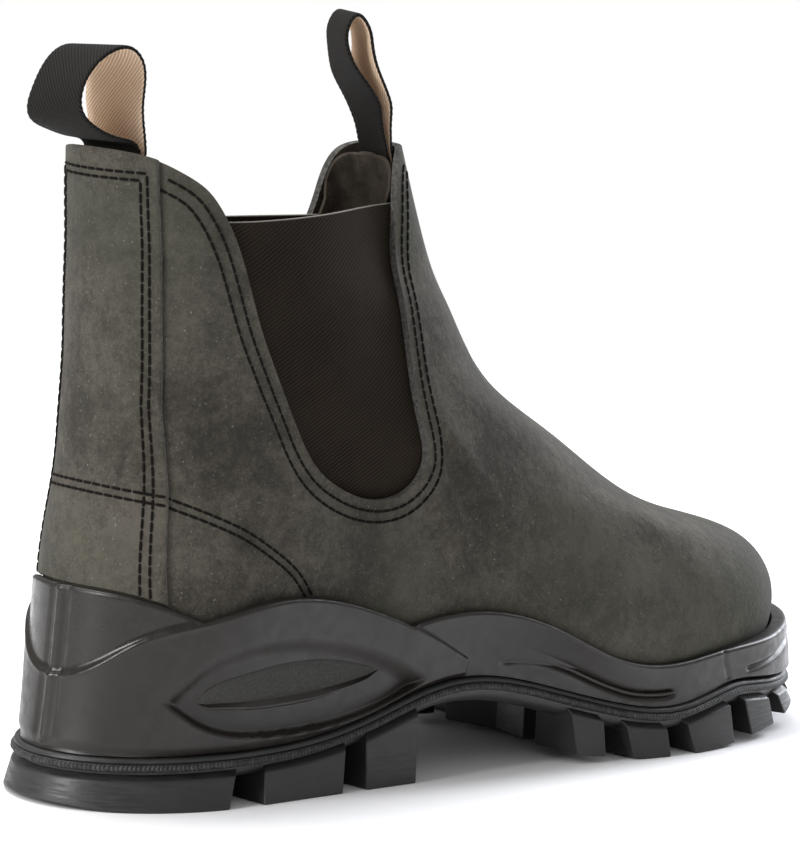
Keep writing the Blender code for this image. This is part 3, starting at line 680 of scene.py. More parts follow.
def place(name, mesh, materials, nodes=(), sharp=50.0):
    """Puts a mesh into the scene as a piece of the boot."""
    outward(mesh)
    mesh.set_sharp_from_angle(angle=math.radians(sharp))
    made = bpy.data.objects.new(name, mesh)
    bpy.context.scene.collection.objects.link(made)
    for material in materials:
        mesh.materials.append(material)
    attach(made, "root")
    if nodes:
        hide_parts(*nodes)
    return made


def cutter(name, profile, material_index):
    """A side view's outline, carried right through the boot. Its faces give the cut their slot."""
    count = len(profile)
    near = [(x, -SOLE_WIDTH, z) for x, z in profile]
    far = [(x, SOLE_WIDTH, z) for x, z in profile]
    faces = [tuple(range(count)), tuple(range(2 * count - 1, count - 1, -1))]
    for i in range(count):
        j = (i + 1) % count
        faces.append((i, count + i, count + j, j))
    mesh = make_mesh(name, near + far, faces, [material_index] * len(faces))
    outward(mesh)
    return bpy.data.objects.new(name, mesh)


def carve(piece, tool, operation):
    """Applies one Boolean to a piece, and removes the tool."""
    bpy.context.scene.collection.objects.link(tool)
    modifier = piece.modifiers.new("cut", "BOOLEAN")
    modifier.operation = operation
    modifier.solver = "EXACT"
    modifier.material_mode = "INDEX"
    modifier.object = tool
    graph = bpy.context.evaluated_depsgraph_get()
    cut = bpy.data.meshes.new_from_object(piece.evaluated_get(graph))
    piece.modifiers.remove(modifier)
    old = piece.data
    cut.name = old.name
    piece.data = cut
    cut.set_sharp_from_angle(angle=math.radians(50.0))
    bpy.data.meshes.remove(old)
    bpy.data.objects.remove(tool)


class Shader:
    """A material under construction: its node tree, its Principled shader and its object coordinates."""

    def __init__(self, name, roughness=0.5, **sockets):
        self.material = bpy.data.materials.new(name)
        self.material.use_nodes = True
        self.tree = self.material.node_tree
        self.out = self.tree.nodes["Principled BSDF"]
        self.out.inputs["Roughness"].default_value = roughness
        for key, value in sockets.items():
            self.out.inputs[key.replace("_", " ")].default_value = value
        self.object = self.tree.nodes.new("ShaderNodeTexCoord").outputs["Object"]

    def node(self, kind, output=0, settings=None, **inputs):
        """Adds a node. Inputs are given by place, as i0, i1 and so on, or by name."""
        made = self.tree.nodes.new(kind)
        for key, value in (settings or {}).items():
            setattr(made, key, value)
        for key, value in inputs.items():
            socket = made.inputs[int(key[1:])] if key[0] == "i" and key[1:].isdigit() else made.inputs[key]
            if isinstance(value, bpy.types.NodeSocket):
                self.tree.links.new(value, socket)
            else:
                socket.default_value = value
        return made.outputs[output]

    def math(self, operation, a, b=0.0):
        return self.node("ShaderNodeMath", settings={"operation": operation}, i0=a, i1=b)

    def plus(self, total, value, weight):
        """A running total with a weighted value added."""
        return self.math("ADD", total, self.math("MULTIPLY", value, weight))

    def noise(self, scale, detail=3.0, rough=0.55, stretch=(1, 1, 1)):
        where = self.node("ShaderNodeMapping", i0=self.object, i3=stretch)
        return self.node("ShaderNodeTexNoise", Vector=where, Scale=scale, Detail=detail, Roughness=rough)

    def range(self, value, low, high, to_low=0.0, to_high=1.0):
        settings = {"interpolation_type": "SMOOTHSTEP"}
        return self.node("ShaderNodeMapRange", settings=settings, i0=value, i1=low, i2=high,
                         i3=to_low, i4=to_high)

    def mix(self, factor, a, b):
        """Colour between a and b."""
        settings = {"data_type": "RGBA"}
        return self.node("ShaderNodeMix", output=2, settings=settings, i0=factor, i6=a, i7=b)

    def over(self, colour, top, mask, weight):
        """A second colour laid over the first by a weighted mask."""
        return self.mix(self.math("MULTIPLY", mask, weight), colour, top)

    def lines(self, direction, pitch):
        """Parallel ribs across a direction of the object's space, from 0 to 1."""
        along = self.node("ShaderNodeVectorMath", output=1, settings={"operation": "DOT_PRODUCT"},
                          i0=self.object, i1=direction)
        return self.waves(along, pitch)

    def waves(self, along, pitch):
        turned = self.math("SINE", self.math("MULTIPLY", along, 2 * math.pi / pitch))
        return self.math("MULTIPLY_ADD", turned, 0.5)

    def attribute(self, name):
        return self.node("ShaderNodeAttribute", output=2, settings={"attribute_name": name})

    def spot(self, centre, radius):
        """A soft ball of influence, 1 at its centre."""
        far = self.node("ShaderNodeVectorMath", output=1, settings={"operation": "DISTANCE"},
                        i0=self.object, i1=centre)
        return self.range(far, 0.0, radius, 1.0, 0.0)

    def bump(self, height, strength, distance, below=None):
        inputs = {"Strength": strength, "Distance": distance, "Height": height}
        if below is not None:
            inputs["Normal"] = below
        return self.node("ShaderNodeBump", **inputs)

    def finish(self, colour=None, normal=None, roughness=None):
        for key, value in (("Base Color", colour), ("Normal", normal), ("Roughness", roughness)):
            if value is None:
                continue
            if isinstance(value, bpy.types.NodeSocket):
                self.tree.links.new(value, self.out.inputs[key])
            else:
                self.out.inputs[key].default_value = value
        return self.material


def grey(value, warm=0.0, green=0.0):
    """A near-grey colour, warmer or greener by a share of its value."""
    return (value * (1 + warm), value * (1 + green), value * (1 - warm), 1.0)


# Dusty places of the leather, and darker places where shade is painted onto it
DUST_AND_SHADE_SPOTS = (  # x, y, z, radius, how much lighter where dusty, or darker if minus, which is painted shade
    (0.075, -0.036, 0.100, 0.034, 0.55), (0.030, -0.036, 0.128, 0.030, 0.30),
    (0.020, -0.030, 0.066, 0.034, 0.55), (-0.020, -0.020, 0.075, 0.030, 0.60),
    (-0.025, -0.012, 0.150, 0.040, 0.20), (0.110, -0.040, 0.062, 0.030, 0.45),
    (0.150, -0.042, 0.056, 0.034, 0.50), (0.190, -0.040, 0.048, 0.028, 0.45),
    (0.126, -0.026, 0.094, 0.026, 0.35), (0.205, -0.022, 0.062, 0.024, 0.30),
    (0.060, 0.036, 0.100, 0.040, 0.40), (0.150, 0.040, 0.056, 0.040, 0.40),
    (0.092, -0.036, 0.078, 0.026, -0.55), (0.104, -0.030, 0.108, 0.022, -0.45),
    (0.168, -0.030, 0.080, 0.030, -0.45), (0.225, -0.030, 0.050, 0.024, -0.50),
    (0.050, -0.036, 0.062, 0.020, -0.35), (0.000, -0.030, 0.105, 0.024, -0.40),
    (-0.030, -0.004, 0.115, 0.026, -0.30),
)
SPOT_STRENGTH = 0.42
NAP_NOISES = (  # scale, detail, roughness, weight
    (26.0, 5.0, 0.6, 1.8), (120.0, 5.0, 0.6, 1.2), (430.0, 4.0, 0.6, 1.1), (1500.0, 2.0, 0.55, 1.0),
)
NAP_MIDDLE = 0.42


def nubuck(name, dark, light):
    """Brushed leather: cloudy colour, dusty places, painted shade in darker places, fine nap and pale specks.
    """
    s = Shader(name, 0.88, Sheen_Weight=0.06, Sheen_Roughness=0.45, Specular_IOR_Level=0.15)
    factor = NAP_MIDDLE
    for scale, detail, rough, weight in NAP_NOISES:
        factor = s.plus(factor, s.math("SUBTRACT", s.noise(scale, detail, rough), 0.5), weight)
    # A plus amount lightens the leather with dust; a minus amount paints shade onto it.
    for x, y, z, radius, amount in DUST_AND_SHADE_SPOTS:
        factor = s.plus(factor, s.spot((x, y, z), radius), amount * SPOT_STRENGTH)
    colour = s.mix(s.range(factor, -0.2, 1.2), dark, light)
    green = s.range(s.noise(14.0, 2.0), 0.42, 0.62)
    colour = s.over(colour, (0.047, 0.050, 0.036, 1), green, 0.45)
    specks = s.range(s.noise(1500.0, 1.0), 0.72, 0.80)
    colour = s.over(colour, grey(0.26, 0.03, 0.01), specks, 0.5)
    coarse = s.bump(s.noise(420.0, 4.0, 0.6), 0.40, 0.0007)
    nap = s.bump(s.noise(2600.0, 3.0, 0.7), 0.35, 0.00022, coarse)
    return s.finish(colour, nap)


def raw_edge():
    """Cut edge of the leather, fibrous and paler."""
    s = Shader("leather_edge", 0.95, Specular_IOR_Level=0.15)
    fibres = s.noise(900.0, 4.0, 0.7)
    colour = s.mix(s.range(fibres, 0.3, 0.7), grey(0.040, 0.06, 0.01), grey(0.115, 0.06, 0.02))
    return s.finish(colour, s.bump(fibres, 0.6, 0.0004))


def lining():
    s = Shader("lining", 0.95, Specular_IOR_Level=0.15)
    patches = s.noise(90.0, 5.0, 0.65)
    colour = s.mix(s.range(patches, 0.35, 0.68), grey(0.017, 0.24, 0.0), grey(0.050, 0.24, 0.0))
    return s.finish(colour, s.bump(s.noise(1100.0, 3.0), 0.4, 0.0004))


def elastic():
    """Ribbed elastic: fine slanted ribs with a thread across them."""
    s = Shader("elastic", 0.90, Specular_IOR_Level=0.05)
    ribs = s.lines((-0.52, 0.0, 0.85), 0.00105)
    cross = s.lines((0.94, 0.0, 0.34), 0.00075)
    weave = s.math("MULTIPLY", ribs, s.math("MULTIPLY_ADD", cross, 0.35))
    colour = s.mix(ribs, grey(0.0080, 0.28, -0.03), grey(0.0200, 0.28, -0.03))
    cloud = s.range(s.noise(60.0, 4.0), 0.3, 0.7)
    colour = s.over(colour, grey(0.0240, 0.24, -0.02), cloud, 0.35)
    return s.finish(colour, s.bump(weave, 0.45, 0.0003))


def moulded(name, value, roughness):
    """Moulded foam rubber with a faint skin texture and dust in its pores."""
    s = Shader(name, roughness, Specular_IOR_Level=0.42)
    cloud = s.range(s.noise(45.0, 4.0), 0.3, 0.7)
    colour = s.mix(cloud, grey(value * 0.86, 0.22, -0.03), grey(value * 1.18, 0.20, -0.03))
    dust = s.range(s.noise(1300.0, 2.0), 0.73, 0.80)
    colour = s.over(colour, grey(0.22, 0.03), dust, 0.22)
    rough = s.range(s.noise(260.0, 3.0), 0.3, 0.7, roughness - 0.06, roughness + 0.10)
    soft = s.bump(s.noise(700.0, 3.0), 0.10, 0.0003)
    return s.finish(colour, s.bump(s.noise(90.0, 2.0), 0.12, 0.0008, soft), rough)


def matt_panel():
    s = Shader("midsole_panel", 0.80, Specular_IOR_Level=0.3)
    grain = s.noise(1700.0, 3.0, 0.7)
    colour = s.mix(s.range(grain, 0.3, 0.7), grey(0.030, 0.05, 0.02), grey(0.052, 0.05, 0.02))
    return s.finish(colour, s.bump(grain, 0.5, 0.0003))


def ribbed_rim():
    """Bead round the sole with fine upright ribs."""
    s = Shader("rim_ribs", 0.62, Specular_IOR_Level=0.4)
    ribs = s.waves(s.attribute("run"), 0.00125)
    worn = s.range(s.noise(500.0, 3.0), 0.35, 0.7)
    colour = s.over(grey(0.012, 0.03), grey(0.060, 0.03), ribs, worn)
    return s.finish(colour, s.bump(ribs, 0.7, 0.0005))


def tread_rubber():
    """Black rubber, a little greyer on its faces and streaked along the mould."""
    s = Shader("tread_rubber", 0.46, Specular_IOR_Level=0.5)
    cloud = s.range(s.noise(70.0, 4.0), 0.3, 0.7)
    streaks = s.range(s.noise(120.0, 3.0, 0.6, (1, 1, 14)), 0.35, 0.65)
    colour = s.mix(cloud, grey(0.0120, 0.01), grey(0.0190, 0.01))
    colour = s.over(colour, grey(0.0260, 0.01), streaks, 0.4)
    dust = s.range(s.noise(1000.0, 2.0), 0.76, 0.82)
    colour = s.over(colour, grey(0.30), dust, 0.25)
    rough = s.range(streaks, 0.0, 1.0, 0.38, 0.56)
    return s.finish(colour, s.bump(s.noise(600.0, 3.0), 0.12, 0.0003), rough)


def twill(name, dark, light, strength):
    """Woven tape with slanted twill lines that follow the strip."""
    s = Shader(name, 0.85, Specular_IOR_Level=0.12)
    slant = s.math("ADD", s.attribute("run"), s.attribute("across"))
    lines = s.waves(slant, 0.00135)
    threads = s.waves(s.attribute("across"), 0.00055)
    colour = s.mix(lines, dark, light)
    height = s.math("ADD", lines, s.math("MULTIPLY", threads, 0.35))
    return s.finish(colour, s.bump(height, strength, 0.0003))


def thread():
    s = Shader("thread", 0.85, Specular_IOR_Level=0.1)
    return s.finish(grey(0.0055, 0.20), s.bump(s.noise(3000.0, 2.0), 0.4, 0.0002))


def pale_thread():
    s = Shader("pale_thread", 0.8, Specular_IOR_Level=0.2)
    return s.finish(grey(0.20, 0.10, 0.02), s.bump(s.noise(3000.0, 2.0), 0.4, 0.0002))


def foam_fabric():
    s = Shader("insole_fabric", 0.95, Specular_IOR_Level=0.2)
    weave = s.math("MULTIPLY", s.lines((1.0, 0.0, 0.0), 0.0011), s.lines((0.0, 1.0, 0.0), 0.0011))
    colour = s.mix(weave, grey(0.018, 0.04), grey(0.045, 0.04))
    return s.finish(colour, s.bump(weave, 0.4, 0.0003))


NUBUCK = nubuck("nubuck", grey(0.0250, 0.15, 0.04), grey(0.0800, 0.15, 0.04))
EDGE = raw_edge()
LINING = lining()
ELASTIC = elastic()
FOAM = moulded("midsole_foam", 0.0110, 0.36)
FOAM_GLOSS = moulded("heel_cup_foam", 0.0105, 0.24)
PANEL = matt_panel()
RIBS = ribbed_rim()
RUBBER = tread_rubber()
BLACK_TAPE = twill("black_tape", grey(0.0050, 0.10), grey(0.0155, 0.10), 0.5)
CREAM_TAPE = twill("cream_tape", (0.46, 0.34, 0.24, 1), (0.74, 0.585, 0.44, 1), 0.4)
THREAD = thread()
PALE_THREAD = pale_thread()
INSOLE = foam_fabric()

LEATHER_SLOTS = [NUBUCK, LINING, EDGE]


def crease_depth(grid):
    """Soft troughs of the leather, with a low ridge beside each."""
    depth = np.zeros(grid.shape[:2])
    for along, height, long, high, slant, deep in CREASES:
        dx = grid[:, :, 0] - x_at(along)
        dz = grid[:, :, 2] - height * COLLAR_HEIGHT
        c = math.cos(math.radians(slant))
        s = math.sin(math.radians(slant))
        u = (dx * c + dz * s) / long
        v = (-dx * s + dz * c) / high
        depth += deep * np.exp(-(u**2)) * (np.exp(-(v**2)) - 0.6 * np.exp(-((v - 1.8) ** 2)))
    return depth


def make_upper():
    """The hollow leather upper, with its lining and its cut edges."""
    levels = np.linspace(0, 1, 96)
    outer = last_grid(levels, ring_turns(300))
    out = normals(outer, True)
    outer = outer - out * crease_depth(outer)[:, :, None]
    inner = outer - out * UPPER_WALL
    inner[0, :, 2] = outer[0, :, 2]
    width = outer.shape[1]
    rows = len(levels)
    vertices = sheet_points(outer, inner)
    faces = grid_faces(2 * rows, width, True, True)
    slots = np.repeat([0] * (rows - 1) + [2] + [1] * (rows - 1) + [2], width)
    mesh = make_mesh("upper_leather", vertices, faces, slots)
    upper = place("upper_leather", mesh, LEATHER_SLOTS, ["upper"])
    carve(upper, opening_cutter(), "DIFFERENCE")
    return surface_tree(outer)


def opening_cutter():
    """Everything above the leather's edge: the collar and both gores."""
    edge = smooth_path(in_metres(LEATHER_EDGE), 8)
    top = COLLAR_HEIGHT * CUT_TOP
    profile = [tuple(p) for p in edge] + [(edge[-1][0], top), (edge[0][0], top)]
    return cutter("opening", profile, 2)


def make_backstay():
    """The strip over the back seam, with rounded edges. Gives its outer grid and normals."""
    rows = 90
    levels = np.linspace(0, 1, 80)
    spread = np.sin(np.linspace(-math.pi / 2, math.pi / 2, 41))
    distances = BACKSTAY_HALF_WIDTH * spread
    grid = last_strip(levels, distances)
    out = normals(grid, False)
    low = rows_at(grid, lambda x: wave_height(x) + 2 * FIT_GAP)
    steps = [low + (len(levels) - 1 - low) * t for t in np.linspace(0, 1, rows)]
    into = np.clip((np.abs(distances) - BACKSTAY_HALF_WIDTH) / STRIP_ROUND + 1, 0, 1)
    edge = np.sqrt(1 - into**2)
    thick = FIT_GAP + BACKSTAY_WALL * (STRIP_EDGE_WALL + (1 - STRIP_EDGE_WALL) * edge)
    near = np.stack([sample(grid + out * FIT_GAP, row) for row in steps])
    far = np.stack([sample(grid + out * thick[None, :, None], row) for row in steps])
    width = len(distances)
    vertices = sheet_points(far, near)
    faces = sheet_faces(rows, width)
    at_edge = np.abs(spread[:-1] + spread[1:]) / 2 > 0.985
    slots = list(np.tile(at_edge.astype(int) * 2, 2 * rows)) + [2] * (2 * rows - 2)
    mesh = make_mesh("backstay_leather", vertices, faces, slots)
    strip = place("backstay_leather", mesh, LEATHER_SLOTS, ["backstay"])
    carve(strip, opening_cutter(), "DIFFERENCE")
    return far, normals(far, False), distances


def make_gores():
    """Elastic panels behind both cut-outs."""
    turns = ring_turns(300)
    grid = last_grid(np.linspace(0.2, 1, 70), turns)
    out = normals(grid, True)
    front = UPPER_WALL + FIT_GAP
    half = len(turns) // 2
    sides = (
        ("gore_outer", slice(6, half - 5), 0.0),
        ("gore_inner", slice(half + 6, len(turns) - 5), INNER_GORE_DROP),
    )
    edge = offset_path(smooth_path(in_metres(LEATHER_EDGE), 6), GORE_OVERLAP)
    for name, columns, drop in sides:
        face = grid[:, columns] - out[:, columns] * front
        rear = face - out[:, columns] * GORE_WALL
        rows = len(face)
        width = face.shape[1]
        vertices = sheet_points(face, rear)
        faces = sheet_faces(rows, width)
        mesh = make_mesh(name + "_elastic", vertices, faces)
        gore = place(name + "_elastic", mesh, [ELASTIC], [name])
        top = smooth_path(in_metres(GORE_TOP), 8) - np.array([0, drop])
        top_z = np.interp(edge[:, 0], top[:, 0], top[:, 1])
        low = [tuple(p) for p, limit in zip(edge, top_z) if p[1] < limit - GORE_WALL]
        across = np.linspace(low[-1][0], low[0][0], 24)
        high = [(x, float(np.interp(x, top[:, 0], top[:, 1]))) for x in across]
        carve(gore, cutter(name + "_outline", low + high, 0), "INTERSECT")
        middle = (face + rear) / 2
        bead = sample(middle, rows_at(middle, lambda x: np.interp(x, top[:, 0], top[:, 1])))
        bead = bead[(bead[:, 0] > high[-1][0] + 0.001) & (bead[:, 0] < high[0][0] - 0.001)]
        tube(name + "_top_thread", bead, np.full(len(bead), GORE_THREAD_RADIUS), PALE_THREAD)


def make_insole():
    turns = ring_turns(240)
    grid = last_grid(np.linspace(0, 0.1, 2), turns)
    out = normals(grid, True)[0]
    out[:, 2] = 0
    out = unit(out)
    edge = grid[0] - out * (UPPER_WALL + 2 * FIT_GAP)
    round_over = 0.0012
    rings = [edge, edge + np.array([0, 0, INSOLE_THICKNESS - round_over])]
    for angle in np.linspace(math.pi / 8, math.pi / 2, 4):
        lift = INSOLE_THICKNESS - round_over * (1 - math.sin(angle))
        rings.append(edge - out * round_over * (1 - math.cos(angle)) + np.array([0, 0, lift]))
    vertices, faces = capped(rings)
    place("insole_cushion", make_mesh("insole_cushion", vertices, faces), [INSOLE], ["insole"])


def step_out(points):
    """How far the midsole's lower waves and its toe bumper stand out from the wall above them."""
    s = share_of(points[:, 0])
    below = smooth_step((shank_height(points[:, 0]) - points[:, 2]) / STEP_DEPTH + 0.5)
    bumper = smooth_step((s - BUMPER_START) / BUMPER_BLEND)
    return STEP_DEPTH * below + BUMPER_STEP * bumper


def eye_depth(points):
    """Depth of the soft scoop in each side of the midsole."""
    top = smooth_path(in_metres(EYE[:6]), 8)
    foot = smooth_path(in_metres(EYE[5:] + EYE[:1]), 8)[::-1]
    x = points[:, 0]
    inside = (x > top[0, 0]) & (x < top[-1, 0])
    below = np.interp(x, top[:, 0], top[:, 1]) - points[:, 2]
    above = points[:, 2] - np.interp(x, foot[:, 0], foot[:, 1])
    depth = smooth_step(below / SCOOP_TOP_SLOPE) * smooth_step(above / SCOOP_FOOT_SLOPE)
    depth *= SCOOP_LEAST + SCOOP_MORE * bell(above, SCOOP_REACH)
    return np.where(inside, EYE_DEPTH * depth, 0.0)


def groove_depth(points):
    """Depth of the narrow grooves in the midsole's side."""
    side = points[:, [0, 2]]
    depth = np.zeros(len(points))
    for table, width, deep in GROOVES:
        path = smooth_path(from_heel(table), 5)
        far, where = path_distance(side, path)
        depth += deep * bell(far, width) * faded_ends(where, GROOVE_END)
    return depth


def spine_height(points):
    """Upright moulded rib at the middle of the heel's back, between two narrow grooves."""
    across = points[:, 1] - middle_line(points[:, 0])
    rib = SPINE_RISE * bell(across, SPINE_WIDTH)
    for off in (-SPINE_GROOVE_OFF, SPINE_GROOVE_OFF):
        rib -= SPINE_GROOVE_DEPTH * bell(across - off, SPINE_GROOVE_WIDTH)
    return np.where(points[:, 0] < x_at(SPINE_END), rib, 0.0)


def cup_bead(points):
    """Raised line where the heel cup meets the long wave below it."""
    near = bell(points[:, 2] - shank_height(points[:, 0]) - 0.0001, CUP_BEAD_WIDTH)
    return CUP_BEAD_RISE * near * smooth_step((CUP_END - share_of(points[:, 0])) / 0.02)


def midsole_rows(turns, steps):
    """The midsole's outer wall without its relief, and the directions away from it."""
    grid = last_grid(np.linspace(0, 0.36, 40), turns)
    out = normals(grid, True)
    lip_rows = rows_at(grid, wave_height)
    surface = sample(grid, lip_rows)
    away_lip = sample(out, lip_rows)

    def lip_point(width, rise):
        point = surface + away_lip * (CUP_GAP + width)
        point[:, 2] = surface[:, 2] + rise
        return point

    base = sole_ring(turns, lambda x: plate_top(x) + FIT_GAP, -PLATE_INSET)
    lip = lip_point(LIP_WIDTH, -LIP_ROLL)
    power = straight(WALL_SWELL, share_of(base[:, 0]))
    rows = []
    for t in steps:
        across = (np.full(len(turns), t) ** power)[:, None]
        row = base * (1 - across) + lip * across
        row[:, 2] = base[:, 2] * (1 - t) + lip[:, 2] * t
        rows.append(row)
    wall = np.stack(rows)
    away = normals(wall, True)
    away[:, :, 2] = 0
    away = unit(away)
    tops = [lip_point(LIP_WIDTH - LIP_ROLL * (1 - math.cos(a)), LIP_ROLL * (math.sin(a) - 1))
            for a in np.linspace(math.pi / 8, math.pi / 2, 4)]
    tops.append(lip_point(0.0004, -0.0001))
    tops.append(lip_point(0.0, -0.0012))
    fit = grid + out * CUP_GAP
    fit[:, :, 2] = grid[:, :, 2]
    cup = [sample(fit, lip_rows * t) for t in (0.85, 0.6, 0.3, 0.0)]
    cup[-1][:, 2] -= FIT_GAP
    return wall, away, tops + cup


def make_midsole():
    """The cupped midsole: waves, scoops, grooves and heel cup."""
    turns = ring_turns(840)
    steps = np.linspace(0, 1, 84)
    wall, away, cup = midsole_rows(turns, steps)
    width = len(turns)
    plain = surface_tree(wall)
    points = wall.reshape(-1, 3)
    push = step_out(points) - eye_depth(points) - groove_depth(points)
    push += spine_height(points) + cup_bead(points)
    ends = smooth_step(steps * GROOVE_END)
    push = push.reshape(len(steps), width) * ends[:, None]
    shaped = wall + away * push[:, :, None]
    carried = push[-1]
    fades = (1, 1, 0.9, 0.7)
    lip = [row + away[-1] * carried[:, None] * fade for row, fade in zip(cup[:4], fades)]
    rings = list(shaped) + lip + cup[4:]
    vertices, faces = capped(rings)
    centre = (shaped[:-1] + shaped[1:]) / 2
    in_cup = centre[:, :, 2] > shank_height(centre[:, :, 0]) + 0.0004
    in_cup &= centre[:, :, 0] < x_at(CUP_END)
    slots = list(in_cup.astype(int).ravel())
    slots += [0] * (len(faces) - len(slots))
    mesh = make_mesh("midsole_cup", vertices, faces, slots)
    place("midsole_cup", mesh, [FOAM, FOAM_GLOSS], ["midsole"], sharp=60.0)
    return plain


def cast(tree, x, z, side):
    """Place and outward direction of a surface seen from the side at x and z."""
    start = Vector((x, side * 0.3, z))
    hit, normal, _, _ = tree.ray_cast(start, Vector((0, -side, 0)))
    if hit is None:
        return None
    if normal.y * side < 0:
        normal = -normal
    return np.array(hit), np.array(normal)


def make_panels(tree):
    """The matt almond inlays in the scoops, proud along their lower edge."""
    foot = smooth_path(from_heel(PANEL_FOOT), 6)
    top = smooth_path(from_heel(PANEL_TOP), 6)
    x = (1 - np.cos(np.linspace(0, math.pi, 90))) / 2 * (top[-1, 0] - top[0, 0]) + top[0, 0]
    low = np.interp(x, foot[:, 0], foot[:, 1])
    high = np.interp(x, top[:, 0], top[:, 1])
    for label, side in SIDES:
        rows = []
        for share, lift in PANEL_ROWS:
            row = []
            for i in range(len(x)):
                thin = min(1.0, (high[i] - low[i]) / PANEL_THIN)
                at, normal = cast(tree, x[i], low[i] + (high[i] - low[i]) * share, side)
                relief = step_out(at[None]) - eye_depth(at[None])
                row.append(at + normal * (max(lift, 0) * thin + min(lift, 0) + relief[0]))
            rows.append(row)
        rows = np.array(rows)
        faces = grid_faces(len(rows), len(x), False, True)
        name = "midsole_panel_" + label
        slots = np.repeat([1] * PANEL_LIP_ROWS + [0] * (len(rows) - PANEL_LIP_ROWS), len(x) - 1)
        place(name, make_mesh(name, rows.reshape(-1, 3), faces, slots), [PANEL, FOAM])


def tube(name, points, radii, material):
    """A thin round bead along a path."""
    points = np.asarray(points)
    step = unit(np.gradient(points, axis=0))
    side = unit(np.cross(step, [0, 0, 1.0]))
    up = np.cross(side, step)
    rings = []
    for angle in np.linspace(0, 2 * math.pi, 10, endpoint=False):
        rings.append(points + (side * math.cos(angle) + up * math.sin(angle)) * np.asarray(radii)[:, None])
    grid = np.stack(rings, axis=1)
    faces = [tuple(f) for f in grid_faces(len(points), 10, True, False)]
    faces += [tuple(range(10)), tuple((len(points) - 1) * 10 + k for k in range(10))]
    place(name, make_mesh(name, grid.reshape(-1, 3), faces), [material])


def make_beads(tree):
    """The raised bead that lies in the long groove of each side."""
    for label, side in SIDES:
        path = smooth_path(from_heel(S_GROOVE), 6)
        points = []
        for x, z in path:
            at, normal = cast(tree, x, z, side)
            points.append(at - normal * BEAD_SINK)
        radii = BEAD_END_RADIUS + BEAD_SWELL * faded_ends(np.linspace(0, 1, len(points)), BEAD_END)
        tube("groove_bead_" + label, points, radii, FOAM)


def make_outsole():
    """Plate and ribbed rim of the outsole."""
    turns = ring_turns(720)
    profile = (
        # inset, height from the rim's middle, ribbed above
        (2 * PLATE_INSET, -PLATE_THICKNESS, 0),
        (PLATE_INSET + 0.0012, -PLATE_THICKNESS * 0.80, 0),
        (PLATE_INSET, -PLATE_THICKNESS * 0.60, 0),
        (PLATE_INSET, -0.0021, 0),
        (RIM_INSET + 0.0011, -0.0020, 0),
        (RIM_INSET + 0.0003, -0.0017, 1),
        (RIM_INSET - 0.0002, -0.0011, 1),
        (RIM_INSET - 0.0001, -0.0004, 1),
        (RIM_INSET + 0.0004, 0.0001, 0),
        (RIM_INSET + 0.0011, 0.0003, 0),
        (RIM_INSET + 0.0007, 0.0007, 0),
        (RIM_INSET + 0.0008, 0.0013, 0),
        (RIM_INSET + 0.0014, 0.0017, 0),
        (PLATE_INSET, RIM_HEIGHT / 2, 0),
    )
    rings = []
    for inset, rise, _ in profile:
        rings.append(sole_ring(turns, lambda x, rise=rise: rim_height(x) + rise, -inset))
    vertices, faces = capped(rings)
    slots = list(np.repeat(column(profile[:-1], 2), len(turns)))
    slots += [0] * (len(faces) - len(slots))
    run = run_along(rings[6])
    mesh = make_mesh("outsole_plate", vertices, faces, slots, {"run": np.tile(run, len(rings))})
    place("outsole_plate", mesh, [RUBBER, RIBS], ["outsole"])


def turn_at(share):
    turns = np.linspace(0, 1, 4 * SAMPLES)
    reach = share_of(sole_ring(turns, rim_height)[:, 0])
    return float(np.interp(share, reach, turns))


def lug_turns():
    """First and last turn of every lug round the edge."""
    heel = turn_at(END_LUG_REACH)
    toe = turn_at(1 - TOE_LUG_REACH)
    pairs = [(-heel, heel), (toe, 2 - toe)]
    for start, end in HEEL_LUGS + FORE_LUGS:
        first = turn_at(start)
        last = turn_at(end)
        pairs += [(first, last), (-last, -first)]
    return pairs


def lug_grid(start, end):
    """Closed rings of one edge lug, narrower at the floor, with a slanted shelf on top."""
    middle = (start + end) / 2
    half = (end - start) / 2
    count = max(6, int(round((end - start) * 160)) + 1)
    spread = np.linspace(-1, 1, count)
    trim = LUG_TRIM / (EDGE_SIDE * half)

    def ring(height, inset, share):
        return sole_ring(middle + half * spread * (1 - trim * share), height, -inset)

    foot = ring(tread_height, 0.0, 1.0)
    top = ring(lambda x: rim_height(x) - LUG_TOP_DROP, RIM_INSET + LUG_TOP_IN, 0.25)
    shelf = ring(lambda x: rim_height(x) - LUG_SHELF_DROP, RIM_INSET + LUG_FLARE + LUG_SHELF_IN, 0.0)
    x = np.clip(foot[:, 0], x_at(LUG_CORE[0]), x_at(LUG_CORE[1]))
    core = np.stack([x, middle_line(x), x * 0], axis=1)
    inner = foot * (1 - LUG_DEPTH) + core * LUG_DEPTH
    inner[:, 2] = tread_height(inner[:, 0])
    root = inner.copy()
    root[:, 2] = plate_under(root[:, 0]) + PLATE_THICKNESS / 3
    deep = shelf * 0.8 + root * 0.2
    deep[:, 2] = plate_under(deep[:, 0]) + PLATE_THICKNESS / 3
    return np.stack([foot, top, shelf, deep, root, inner], axis=1)


def bar_faces(count, width, first):
    faces = [tuple(f) for f in grid_faces(count, width, True, False, first)]
    faces.append(tuple(first + k for k in reversed(range(width))))
    faces.append(tuple(first + (count - 1) * width + k for k in range(width)))
    return faces


